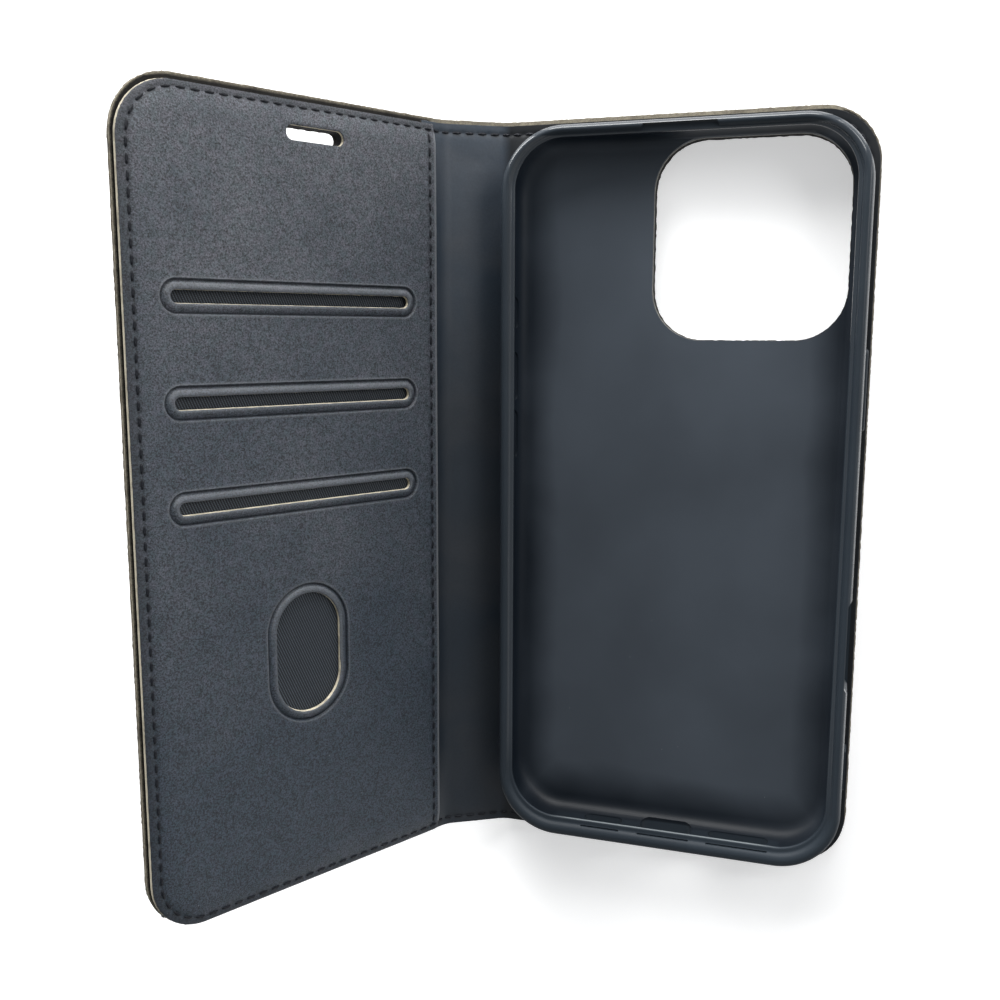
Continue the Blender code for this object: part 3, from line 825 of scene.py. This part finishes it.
# The tray's size, wall thicknesses and the levels between which its looks change.
TRAY_LOW, TRAY_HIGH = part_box("phone_tray")
TRAY_HALF = np.array([-TRAY_LOW.x, TRAY_HIGH.y])
WALL_SIDE, WALL_TOP, WALL_BOTTOM = 1.8 * MM, 2.0 * MM, 3.4 * MM
INNER_LEVELS = (TRAY_HIGH.z - 2.0 * MM, TRAY_HIGH.z - 1.5 * MM)
OUTER_LEVELS = (TRAY_HIGH.z - 2.2 * MM, TRAY_HIGH.z - 1.5 * MM)
LIP_LEVELS = (TRAY_HIGH.z - 1.50 * MM, TRAY_HIGH.z - 1.40 * MM)
CUT_LEVELS = (TRAY_LOW.z + 0.90 * MM, TRAY_LOW.z + 0.98 * MM)

FACE = slate_leather("slate_leather", (0.070, 0.076, 0.087), (0.027, 0.037, 0.050), (0.026, 0.034, 0.044))
OUTER = slate_leather(
    "slate_leather_outer", (0.060, 0.065, 0.075), (0.028, 0.038, 0.050), (0.026, 0.033, 0.042))
PANEL_CUT = raw_edge("cream_cut_edge", (0.80, 0.74, 0.58), (0.56, 0.50, 0.38), (0.26, 0.23, 0.18))
OUTER_CUT = raw_edge("olive_cut_edge", (0.15, 0.13, 0.095), (0.07, 0.06, 0.048), (0.030, 0.026, 0.024))
SUEDE = raw_edge("olive_backing", (0.30, 0.275, 0.21), (0.16, 0.14, 0.11), (0.07, 0.06, 0.05))
LINING_FACE = smooth_lining("smooth_lining", (0.012, 0.018, 0.026), (0.018, 0.022, 0.028))
LINING_CUT = raw_edge("lining_cut_edge", (0.05, 0.045, 0.04), (0.03, 0.028, 0.026), (0.02, 0.02, 0.02))
TWILL = twill("black_twill", (0.050, 0.062, 0.078), (0.004, 0.005, 0.008), (0.15, 0.18, 0.20))
TRAY = moulded(
    "tray_rubber", (0.020, 0.027, 0.035), (0.042, 0.051, 0.063), (0.007, 0.011, 0.017), (0.16, 0.18, 0.19))
THREAD_DARK = thread("dark_thread", (0.003, 0.004, 0.007), (0.010, 0.012, 0.017))
CORE = fibre_board("core_board", (0.012, 0.012, 0.013), (0.0264, 0.0264, 0.0286))


# ---- sewing lines

COVER_SEAM = Seam(seam_path(SEAM_LEAF["cover"], 1, MIDDLE))
BACK_SEAM = Seam(seam_path(SEAM_LEAF["back"], -1, MIDDLE))
COLUMN = Seam(np.array([
    (COLUMN_S, SEAM_LEAF["cover"][1] + THREAD),
    (COLUMN_S, SEAM_LEAF["cover"][2] - THREAD)]))
SEAMS = {"cover": [COVER_SEAM, COLUMN], "back": [BACK_SEAM]}
SEAM_OFFSETS = mm(-1.0, -0.55, -0.28, 0, 0.28, 0.55, 1.0)
SEAM_STEP = 0.5 * MM


# ---- front cover

# Height of the puffed rim and its groove by distance from an opening, then of other soft edges.
RIM_D = mm(0, 0.10, 0.35, 0.80, 1.30, 1.65, 1.85, 1.98, 2.12, 2.35, 2.8)
RIM_H = mm(-0.06, 0.09, 0.20, 0.14, -0.06, -0.28, -0.46, -0.50, -0.10, 0.06, 0.0)
EDGE_D = mm(0, 0.12, 0.35, 0.8, 1.3)
EDGE_H = mm(-0.16, -0.07, -0.02, 0.02, 0.0)
TURNED_D = mm(0, 0.12, 0.35, 0.7, 1.1, 1.5)
TURNED_H = mm(-0.50, -0.30, -0.12, -0.02, 0.02, 0.0)
SEWN_D = mm(0.0, 1.9, 4.6)
SEWN_H = mm(0.90, 0.45, 0.0)

# Colour by distance: painted shade in the groove, a darker margin, and painted highlights on the rim, its
# upper crest, the groove's outer edge and the turned edge.
GROOVE_SHADE = (mm(1.60, 1.85, 2.05, 2.25), (0.0, 0.55, 0.55, 0.0))
MARGIN_DARKENING = (mm(1.2, 2.2), (0.42, 0.0))
RIM_HIGHLIGHT = (mm(0.0, 0.3, 0.7, 1.2), (0.42, 0.22, 0.08, 0.0))
CREST_HIGHLIGHT = (mm(0.5, 0.9, 1.4, 1.65), (0.0, 0.30, 0.36, 0.0))
OUTLINE_HIGHLIGHT = (mm(2.12, 2.35, 2.8), (0.0, 0.30, 0.0))
TURN_HIGHLIGHT = (mm(0.0, 0.2, 0.7, 1.1), (0.8, 0.8, 0.5, 0.0))


def panel_depth(s, y):
    """Distance inwards from the pocket panel's sewn outline."""
    return -box_distance(s, y, leaf_box(PANEL_LEAF, PANEL_START))


def pressed(s, y):
    """How far the sewing presses the panel down towards its outer edge."""
    return np.interp(panel_depth(s, y), SEWN_D, SEWN_H)


def panel_top(s, y):
    """Inner face of the pocket panel: puffed rims, grooves, sewn lines and soft edges."""
    height = np.full(len(s), PANEL[1]) - pressed(s, y)
    for shape in RIMMED:
        height += np.interp(box_distance(s, y, shape), RIM_D, RIM_H)
    height += np.interp(box_distance(s, y, EARPIECE), EDGE_D, EDGE_H)
    height += np.interp(panel_depth(s, y), EDGE_D, EDGE_H)
    height += np.interp(s - PANEL_START, TURNED_D, TURNED_H)
    height -= COVER_SEAM.depth(s, y) + COLUMN.depth(s, y)
    return height + waves(s, y, 0.10 * MM, 26 * MM, 3.0)


def panel_bevel(s, y):
    """The cut edges are rubbed round, but for the upper lips of the openings."""
    bevel = np.full(len(s), 0.26 * MM)
    for shape in PANEL_OPENINGS:
        upper = (np.abs(box_distance(s, y, shape)) < 0.1 * MM) & (y > shape[0][1] - 0.25 * shape[1][1])
        bevel[upper] = 0.02 * MM
    return bevel


def panel_shading(s, y):
    """Painted shade (above 0) at the thread and in the grooves, a darker margin, and painted highlights
    (below 0) on the rims, upper crests and turned edge.
    """
    stain = np.maximum(COVER_SEAM.stain(s, y), COLUMN.stain(s, y))
    stain = np.maximum(stain, np.interp(panel_depth(s, y), *MARGIN_DARKENING))
    painted_light = np.interp(s - PANEL_START, *TURN_HIGHLIGHT)
    for shape in RIMMED:
        distance = box_distance(s, y, shape)
        above = np.clip((y - shape[0][1]) / shape[1][1], 0, 1)
        stain = np.maximum(stain, np.interp(distance, *GROOVE_SHADE))
        for share, tones in ((1, RIM_HIGHLIGHT), (above, CREST_HIGHLIGHT), (1, OUTLINE_HIGHLIGHT)):
            painted_light = np.maximum(painted_light, share * np.interp(distance, *tones))
    return np.where(stain > 0.05, stain, -painted_light)


def build_panel():
    holes = [resample(offset_loop(shape, 0.0), 0.7 * MM) for shape in RIMMED + [EARPIECE]]
    rings = [resample(offset_loop(shape, distance), MM) for distance in RIM_D[1:] for shape in RIMMED]
    rings += [resample(offset_loop(EARPIECE, distance), MM) for distance in EDGE_D[1:]]
    for inset in EDGE_D[1:4]:
        rings.append(leaf_loop(drawn_in(PANEL_LEAF, inset), PANEL_START + inset, 1.2 * MM))
    rim = leaf_loop(PANEL_LEAF, PANEL_START, 0.6 * MM)
    extra = np.concatenate([COVER_SEAM.rows(), COLUMN.rows()])
    extra = clear(extra, leaf_loop(drawn_in(PANEL_LEAF, 0.9 * MM), PANEL_START + 0.9 * MM))
    grid = grid_points(rim.min(0), rim.max(0), (1.6 * MM, 1.6 * MM))
    grid = clear(grid, leaf_loop(drawn_in(PANEL_LEAF, MM), PANEL_START + MM), PANEL_OPENINGS, RIM_D[-1])
    panel = sheet(
        "card_pocket_panel_leather", rim, holes, rings, extra, grid,
        panel_top, lambda s, y: PANEL[0] - pressed(s, y), [FACE, PANEL_CUT, SUEDE],
        bevel=panel_bevel, stain=panel_shading)
    settle(panel, ["card_pocket_panel"], "cover")


def build_pockets():
    """Twill layers behind the slots, each a little slack."""
    for index, name in enumerate(("pocket_backing_twill", "pocket_divider_middle", "pocket_divider_lower")):
        low, high = sheet_box(name, "cover")
        rim = resample(box_loop(low[:2], high[:2], (0, 0, 0, 0)), 2 * MM)
        grid = grid_points(low[:2], high[:2], (2 * MM, 2 * MM))
        thick = high[2] - low[2]

        def lower(s, y, level=low[2], seed=index + 0.5):
            return level - pressed(s, y) + waves(s, y, 0.05 * MM, 11 * MM, seed)

        cloth = sheet(
            name + "_cloth", rim, [], [], np.zeros((0, 2)), grid,
            lambda s, y: lower(s, y) + thick, lower, [TWILL, TWILL], ragged=0.12 * MM)
        settle(cloth, [name], "cover")


# ---- sheets that cross the folds

EDGE_STRIPS = (0.15 * MM, 0.30 * MM, 0.5 * MM, 0.75 * MM, 0.95 * MM)
TAB = 7.0 * MM  # how far the lining goes on over the front cover
CREASE_Y = 78.5 * MM


def across(piece):
    """Bakes a placed sheet's transform into its mesh; its soft bends at the folds come from place()."""
    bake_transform(piece)


def outer_shading(s, y, side):
    """Painted shade round the thread and round the opening, and a darker band on the inner face beyond a
    pale raw strip at its edge.
    """
    depth = -box_distance(s, y, leaf_box(OUTER_LEAF[side], MIDDLE))
    from_top = OUTER_LEAF[side][2] - y
    strip = np.where(from_top < 1.3 * MM, np.where(s > SPINE + 3 * MM, 0.40, 0.75), 0.12) * MM
    inner_band = np.clip((depth - strip) / (0.15 * MM), 0, 0.95)
    inner_band = inner_band * (depth < 2.2 * MM)
    opening = 0.9 * (box_distance(s, y, OPENING[side]) < 0.4 * MM)
    return np.max([inner_band, opening] + [seam.stain(s, y) for seam in SEAMS[side]], axis=0)


def build_outer(side):
    """The outer leather of one cover and half the spine, drawn in along its seams."""
    leaf_shape = OUTER_LEAF[side]
    within = leaf_loop(drawn_in(leaf_shape, 1.2 * MM), MIDDLE)
    rim = leaf_loop(leaf_shape, MIDDLE, 0.7 * MM)
    hole = resample(offset_loop(OPENING[side], 0.0), 0.8 * MM)
    extra = [clear(np.concatenate([seam.rows() for seam in SEAMS[side]]), within)]
    for inset in EDGE_STRIPS:
        strip = leaf_loop(drawn_in(leaf_shape, inset), MIDDLE - 0.01 * MM, 1.2 * MM)
        extra.append(strip[np.abs(strip[:, 0] - MIDDLE) > 0.5 * MM])
    grid = grid_points(rim.min(0), rim.max(0), (2.5 * MM, 2.5 * MM), (0.0, SPINE))
    piece = sheet(
        f"outer_leather_{side}_side", rim, [hole], [], np.concatenate(extra),
        clear(grid, within, [OPENING[side]]),
        lambda s, y: LEATHER + waves(s, y, 0.08 * MM, 0.9 * MM, 5.0),
        lambda s, y: sum(seam.depth(s, y) for seam in SEAMS[side]),
        [SUEDE, OUTER_CUT, OUTER], ragged=0.24 * MM, stain=lambda s, y: outer_shading(s, y, side))
    across(piece)
    settle(piece, [f"{side}_outer_leather", "spine_outer_leather"])


def lining_top(s, y):
    """Inner face of the lining, with a faint crease across the spine near its top."""
    crease = np.exp(-(((y - CREASE_Y) / (1.6 * MM)) ** 2)) * ((s > 1.5 * MM) & (s < 13 * MM))
    return LINING[1] + waves(s, y, 0.10 * MM, 12 * MM, 8.0) - 0.08 * MM * crease


def build_lining(side):
    seam = SEAMS[side][0]
    if side == "cover":
        corners = (MIDDLE, LINING_LEAF[1]), (SPINE + TAB, LINING_LEAF[2])
        rim = resample(box_loop(*corners, (0, 0, 0, 0)), 0.8 * MM)
        openings, node = [], "hinge_lining_tab"
    else:
        rim = leaf_loop(LINING_LEAF, MIDDLE, 0.8 * MM)
        openings, node = [CAMERA_HOLE], "back_lining"
    low, high = rim.min(0), rim.max(0)
    extra = clear(seam.rows(), rim)
    extra = extra[(extra[:, 0] > low[0] + 0.3 * MM) & (extra[:, 0] < high[0] - 0.3 * MM)]
    grid = clear(grid_points(low, high, (2.0 * MM, 1.6 * MM), (0.0, SPINE)), rim, openings)
    piece = sheet(
        f"lining_{side}_side", rim, [resample(offset_loop(shape, 0.0), 0.8 * MM) for shape in openings],
        [], extra, grid, lambda s, y: lining_top(s, y) - seam.depth(s, y) * 0.8,
        lambda s, y: np.full(len(s), LINING[0] - 0.25 * MM), [LINING_FACE, LINING_CUT],
        bevel=0.05 * MM, stain=seam.stain)
    across(piece)
    settle(piece, [node, "spine_lining"])


def inner_surface(s, y):
    """What the thread lies on inside the case: the pocket panel, or the lining beside it."""
    on_panel = np.interp(s, [PANEL_START - 0.5 * MM, PANEL_START + 0.1 * MM], [0, 1])
    return LINING[1] + (PANEL[1] - pressed(s, y) - LINING[1]) * on_panel - 0.04 * MM


def outer_surface(s, y):
    """What the thread lies on outside the case: the foot of the seam's groove."""
    return np.full(len(s), 0.30 * MM)


def build_sewing():
    stands_for = {
        "cover": ["cover_edge_stitching", "spine_top_stitching", "spine_bottom_stitching"],
        "back": ["back_edge_stitching"],
    }
    for side in SIDES:
        seam = SEAMS[side][0]
        inner = stitches(f"edge_stitches_inner_{side}_side", seam, inner_surface, 1)
        outer = stitches(f"edge_stitches_outer_{side}_side", seam, outer_surface, -1)
        across(inner)
        across(outer)
        settle(inner, stands_for[side])
        settle(outer)
    inner = stitches("pocket_seam_stitches_inner", COLUMN, inner_surface, 1)
    outer = stitches("pocket_seam_stitches_outer", COLUMN, outer_surface, -1)
    settle(inner, ["pocket_seam_stitching"], "cover")
    settle(outer, body="cover")


def pocket_well():
    """The room in the cover's board that the twill layers fill, as a rounded box."""
    low, high = sheet_box("pocket_backing_twill", "cover")
    return (low[:2] + high[:2]) / 2, (high[:2] - low[:2]) / 2 + 0.8 * MM, 0.5 * MM


def board_top(s, y, side):
    """The cover's board fills the space under the panel all round the pockets."""
    flat = np.full(len(s), BOARD[1])
    if side == "back":
        return flat
    rise = np.clip(box_distance(s, y, pocket_well()) / (0.4 * MM), 0, 1) * (s > SPINE + 8.5 * MM)
    return flat + (PANEL[0] - pressed(s, y) - 0.1 * MM - BOARD[1]) * rise


def build_board(side):
    """A core board, with a step round the pockets on the cover."""
    low, high = sheet_box(f"{side}_stiffener_board", side)
    start = low[0] if side == "cover" else high[0]
    leaf_shape = BOARD_LEAF[side]
    beyond = start + math.copysign(MM, start - leaf_shape[0])
    rim = leaf_loop(leaf_shape, start)
    rings = []
    if side == "cover":
        rings = [resample(offset_loop(pocket_well(), grow), 2 * MM) for grow in (0.0, 0.4 * MM)]
        rings = [ring for ring in rings if inside(ring, rim).all()]
    grid = grid_points(rim.min(0), rim.max(0), (3 * MM, 3 * MM))
    grid = clear(grid, leaf_loop(drawn_in(leaf_shape, MM), beyond), [OPENING[side]])
    hole = resample(offset_loop(OPENING[side], 0.0), 0.8 * MM)
    board = sheet(
        f"{side}_core_board", rim, [hole], rings, np.zeros((0, 2)), grid,
        lambda s, y: board_top(s, y, side), lambda s, y: np.full(len(s), BOARD[0]), [CORE, CORE])
    settle(board, [f"{side}_stiffener_board"], side)


# ---- phone tray

TRAY_RADIUS = 14.5 * MM
RIDGE_RADIUS = 1.3 * MM
SIDES_ALIKE = 0.6 * MM  # beyond this inset the ridge is narrower at the top and wider at the bottom
RIDGE_SPREAD = (1, 0.86, 1.34)
MIDDLE_Z = TRAY_LOW.z + 5.2 * MM  # of the openings in the walls

# The foot: inset all round, and height above the tray's base.
FOOT = list(zip(mm(1.5, 1.1, 0.7, 0.32, 0.1, 0.0, 0.0), mm(0.0, 0.04, 0.22, 0.60, 1.1, 1.8, 5.2)))
# The ridge's inner slope, after its quarter round: inset, and drop below the rim.
SLOPE = list(zip(
    mm(1.50, 1.72, 1.94, 2.12, 2.27, 2.42, 2.58, 2.74),
    mm(0.03, 0.11, 0.25, 0.43, 0.63, 0.82, 0.93, 0.97)))
# The lip and the wall under it: insets at the sides, top and bottom, and drop below the rim.
LIP = list(zip(
    mm(2.85, 3.05, 3.20, 3.28, 3.30, 3.24, 2.0, 1.85, 1.8),
    mm(2.30, 2.48, 2.61, 2.68, 2.70, 2.64, 2.2, 2.05, 2.0),
    mm(4.05, 4.30, 4.48, 4.57, 4.60, 4.54, 3.6, 3.45, 3.4),
    mm(0.96, 0.99, 1.09, 1.24, 1.42, 1.58, 1.64, 1.72, 1.9)))
# The fillet inside the wall: further inset, and height above the base.
FILLET = list(zip(
    mm(0.0, 0.05, 0.22, 0.55, 1.05, 1.7, 2.5, 3.4),
    mm(5.0, 4.2, 3.3, 2.5, 1.85, 1.38, 1.1, 1.0)))

# Openings in the bottom wall, as (x, length, height), with a slot of the same length in the lip.
END_OPENINGS = mm((0.4, 12.4, 6.0), (-15.0, 9.5, 3.2), (17.8, 14.2, 3.2))
LIP_SLOT_Y, LIP_SLOT_HALF = 3.2 * MM, 0.17 * MM
# The thin stretch of the top wall's ridge, seen from above.
RELIEF = mm((8.0, -0.8), (-8.0, -0.8), (-9.2, -4.0), (9.2, -4.0))
# On the right wall: an opening in a shallow scoop, and a raised pad, as (y, length).
SIDE_CUTOUT = mm(-30.6, 19.0)
SIDE_PAD = mm(-60.2, 10.0)
BUTTONS = {
    "power_button_cover": 1,
    "action_button_cover": -1,
    "volume_up_button_cover": -1,
    "volume_down_button_cover": -1,
}
# A button's sections, from its shoulder to its dish: depth below the outer face, and growth.
BUTTON_LEVELS = (
    (0.45, 0.0), (0.28, -0.05), (0.12, -0.16), (0.03, -0.34), (0.0, -0.55), (0.03, -0.85), (0.035, -1.05))


def tray_profile():
    """Insets at the side, top and bottom, and height above the tray's base, from outside in."""
    rim = TRAY_HIGH.z - TRAY_LOW.z
    rows = [(inset, inset, inset, height) for inset, height in FOOT]
    turns = np.linspace(0, math.pi / 2, 12)
    ridge = [(RIDGE_RADIUS * (1 - math.cos(t)), RIDGE_RADIUS * (1 - math.sin(t))) for t in turns]
    for inset, drop in [*ridge, *SLOPE]:
        spread = RIDGE_SPREAD if inset > SIDES_ALIKE else (1, 1, 1)
        rows.append((*(inset * share for share in spread), rim - drop))
    rows += [(side, top, bottom, rim - drop) for side, top, bottom, drop in LIP]
    rows += [(WALL_SIDE + d, WALL_TOP + d, WALL_BOTTOM + d, height) for d, height in FILLET]
    return rows


def tray_sections():
    for side, top, bottom, height in tray_profile():
        low = (-TRAY_HALF[0] + side, -TRAY_HALF[1] + bottom)
        high = (TRAY_HALF[0] - side, TRAY_HALF[1] - top)
        radius = max(TRAY_RADIUS - side, 4 * MM)
        yield box_loop(low, high, (radius,) * 4, 22), TRAY_LOW.z + height


def lofted(name, sections, axis):
    """A closed piece of tray plastic through outlines that lie across an axis, each at its level."""
    rings = [np.insert(np.asarray(outline), axis, level, axis=1) for outline, level in sections]
    return new_piece(name, np.concatenate(rings), stack(len(rings[0]), len(rings)), [TRAY])


def carve(piece, outline, axis, ends, operation="DIFFERENCE"):
    """Cuts a prism from the piece, or joins one to it, and deletes the helper."""
    cutter = lofted("helper", [(outline, end) for end in ends], axis)
    modifier = piece.modifiers.new("carve", "BOOLEAN")
    modifier.operation = operation
    modifier.solver = "EXACT"
    modifier.object = cutter
    graph = bpy.context.evaluated_depsgraph_get()
    mesh = bpy.data.meshes.new_from_object(piece.evaluated_get(graph))
    piece.modifiers.clear()
    piece.data = mesh
    bpy.data.objects.remove(cutter)


def slot_loop(centre, half, radius, steps=8):
    """Outline of a rounded opening."""
    return offset_loop((np.array(centre), np.array(half), radius), 0.0, steps)


def button_face(name):
    """A button's rounded face, across its own axis, and the box it fills."""
    low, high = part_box(name)
    centre = np.array([(low.y + high.y) / 2, (low.z + high.z) / 2])
    half = np.array([high.y - low.y, high.z - low.z]) / 2
    return (centre, half, half[1] * 0.6), low, high


def carve_ends(tray):
    """The bottom wall's openings, the slots in the lip over them, and the thin stretch of ridge."""
    rim = TRAY_HIGH.z
    foot = -TRAY_HALF[1]
    for middle, length, height in END_OPENINGS:
        port = slot_loop((middle, MIDDLE_Z), (length / 2, height / 2), min(height / 2 * 0.95, 2 * MM))
        slot = slot_loop((middle, foot + LIP_SLOT_Y), (length / 2, LIP_SLOT_HALF), 0.16 * MM, 6)
        carve(tray, port, 1, (foot - MM, foot + 5 * MM))
        carve(tray, slot, 2, (rim - 1.4 * MM, rim + MM))
    carve(tray, RELIEF + (0, TRAY_HALF[1]), 2, (rim - 0.95 * MM, rim + MM))


def carve_sides(tray):
    """The right wall's opening, scoop and pad, and the room for each button."""
    edge = TRAY_HALF[0]
    middle, length = SIDE_CUTOUT
    port = slot_loop((middle, MIDDLE_Z), (length / 2 - MM, 2.1 * MM), 1.2 * MM)
    half = length / 2
    scoop = [(edge + MM, middle + half + 3 * MM), (edge - 0.7 * MM, middle + half)]
    scoop += [(edge - 0.7 * MM, middle - half), (edge + MM, middle - half - 3 * MM)]
    carve(tray, port, 0, (edge - 2.8 * MM, edge + MM))
    carve(tray, scoop, 2, (TRAY_LOW.z + 1.8 * MM, TRAY_HIGH.z + MM))
    middle, length = SIDE_PAD
    pad = slot_loop((middle, MIDDLE_Z), (length / 2, 2.1 * MM), 1.0 * MM)
    carve(tray, pad, 0, (edge - 0.9 * MM, edge + 0.5 * MM), "UNION")
    for name, side in BUTTONS.items():
        room = offset_loop(button_face(name)[0], 0.3 * MM, 8)
        carve(tray, room, 0, sorted((side * (edge - 2.8 * MM), side * (edge + MM))))


def build_tray():
    tray = lofted("phone_tray_moulding", tray_sections(), 2)
    camera = offset_loop(CAMERA_HOLE, 0.0, 20) * (-1, 1) + (BACK_FOLD[0], 0)
    carve(tray, camera[::-1], 2, (TRAY_LOW.z - MM, TRAY_LOW.z + 3 * MM))
    carve_ends(tray)
    carve_sides(tray)
    tray.data.shade_smooth()
    tray.data.set_sharp_from_angle(angle=SHARP)
    settle(tray, ["phone_tray"], "back")


def build_buttons():
    """Raised pads with softened edges and a shallow dish, one for each button under them."""
    for name, side in BUTTONS.items():
        shape, low, high = button_face(name)
        inner, outer = (low.x, high.x) if side > 0 else (high.x, low.x)
        sections = [(offset_loop(shape, 0.0, 8), inner)]
        for depth, grow in BUTTON_LEVELS:
            sections.append((offset_loop(shape, grow * MM, 8), outer - side * depth * MM))
        pad = lofted(name.replace("_cover", "_pad"), sections, 0)
        settle(pad, [name], name.replace("_cover", ""))


# ---- hidden pieces carried over


def dress_hidden():
    steel = plated_metal("keeper_steel", (0.55, 0.55, 0.56), (0.4125, 0.4125, 0.42), (0.3, 0.45))
    nickel = plated_metal("magnet_nickel", (0.66, 0.64, 0.60), (0.495, 0.48, 0.45), (0.18, 0.33))
    bond = adhesive("bond_sheet", (0.50, 0.48, 0.42), (0.35, 0.336, 0.294))
    bars = [(f"{name}_{place}", material) for place in ("upper", "lower")
            for name, material in (("back_keeper_bar", steel), ("cover_magnet", nickel))]
    for name, material in [*bars, ("tray_bond_sheet", bond)]:
        piece = NODES[name]
        piece.data.materials.clear()
        piece.data.materials.append(material)
        if material is not bond:
            soften = piece.modifiers.new("soften", "BEVEL")
            soften.width = 0.15 * MM
            soften.segments = 2


# ---- stage, light and camera

FLOOR_GLOW = 0.42
FLOOR_HALF = 8.0
FLOOR_DROP = 0.4 * MM
SKY_LEVELS = (0.15, 0.75)  # sine of the elevation where the room starts to dim, and where it has
SKY_STRENGTHS = (0.50, 0.26)
SKY_TINT = (0.96, 0.98, 1.0)
KEY_POWER = 32
FILL_POWER = 1.05
EYE = mm(36.95, 38.35, 256.08)
LOOK = (-0.30067, -0.15383, -0.94124)
EYE_UP = (-0.0499, 0.9881, -0.1455)
LENS = 38.7


def build_stage():
    corners = ((-1, -1), (1, -1), (1, 1), (-1, 1))
    points = [(x * FLOOR_HALF, y * FLOOR_HALF, -FLOOR_DROP) for x, y in corners]
    made = Shader("floor_white")
    tone = made.noise(made.on_body(), 0.4, 2)
    colour = made.mix(tone, (0.93, 0.93, 0.93), (0.95, 0.95, 0.95))
    white = made.finish(colour, 0.9, emission_color=(1, 1, 1), emission_strength=FLOOR_GLOW)
    new_piece("floor", points, [(0, 1, 2, 3)], [white])


def area_light(name, place_m, target, size, power):
    lamp = bpy.data.lights.new(name, "AREA")
    lamp.shape = "RECTANGLE"
    lamp.size, lamp.size_y = size
    lamp.energy = power
    holder = link(name, lamp)
    holder.location = place_m
    holder.rotation_mode = "QUATERNION"
    holder.rotation_quaternion = (Vector(target) - Vector(place_m)).to_track_quat("-Z", "Y")


def build_world():
    """A pale room: bright near the horizon and dim overhead."""
    world = bpy.data.worlds.new("studio")
    world.use_nodes = True
    nodes, links = world.node_tree.nodes, world.node_tree.links
    coordinates = nodes.new("ShaderNodeTexCoord")
    split = nodes.new("ShaderNodeSeparateXYZ")
    ramp = nodes.new("ShaderNodeMapRange")
    ramp.interpolation_type = "SMOOTHSTEP"
    for index, value in enumerate(SKY_LEVELS + SKY_STRENGTHS, start=1):
        ramp.inputs[index].default_value = value
    links.new(coordinates.outputs["Generated"], split.inputs[0])
    links.new(split.outputs["Z"], ramp.inputs["Value"])
    links.new(ramp.outputs[0], nodes["Background"].inputs["Strength"])
    nodes["Background"].inputs["Color"].default_value = (*SKY_TINT, 1)
    bpy.context.scene.world = world


def build_light():
    build_world()
    area_light("key_top", (-0.30, 0.95, 0.40), (0, 0, 0.01), (1.7, 0.6), KEY_POWER)
    area_light("fill_right", (0.34, 0.30, 0.30), (-0.08, 0.06, 0.04), (0.3, 0.24), FILL_POWER)
    bpy.context.scene.view_settings.view_transform = "Standard"


def build_camera():
    """The eye stands over the tray, a little above the middle, and looks slightly to the left."""
    lens = bpy.data.cameras.new("camera")
    lens.sensor_width = 36
    lens.lens = LENS
    lens.clip_start = 0.01
    camera = link("camera", lens)
    forward = Vector(LOOK)
    right = forward.cross(Vector(EYE_UP)).normalized()
    up = right.cross(forward).normalized()
    turn = Matrix((right, up, -forward)).transposed().to_4x4()
    camera.matrix_world = Matrix.Translation(EYE) @ turn
    bpy.context.scene.camera = camera


build_panel()
build_pockets()
for half_name in SIDES:
    build_outer(half_name)
    build_lining(half_name)
    build_board(half_name)
build_sewing()
build_tray()
build_buttons()
dress_hidden()
build_stage()
build_light()
build_camera()
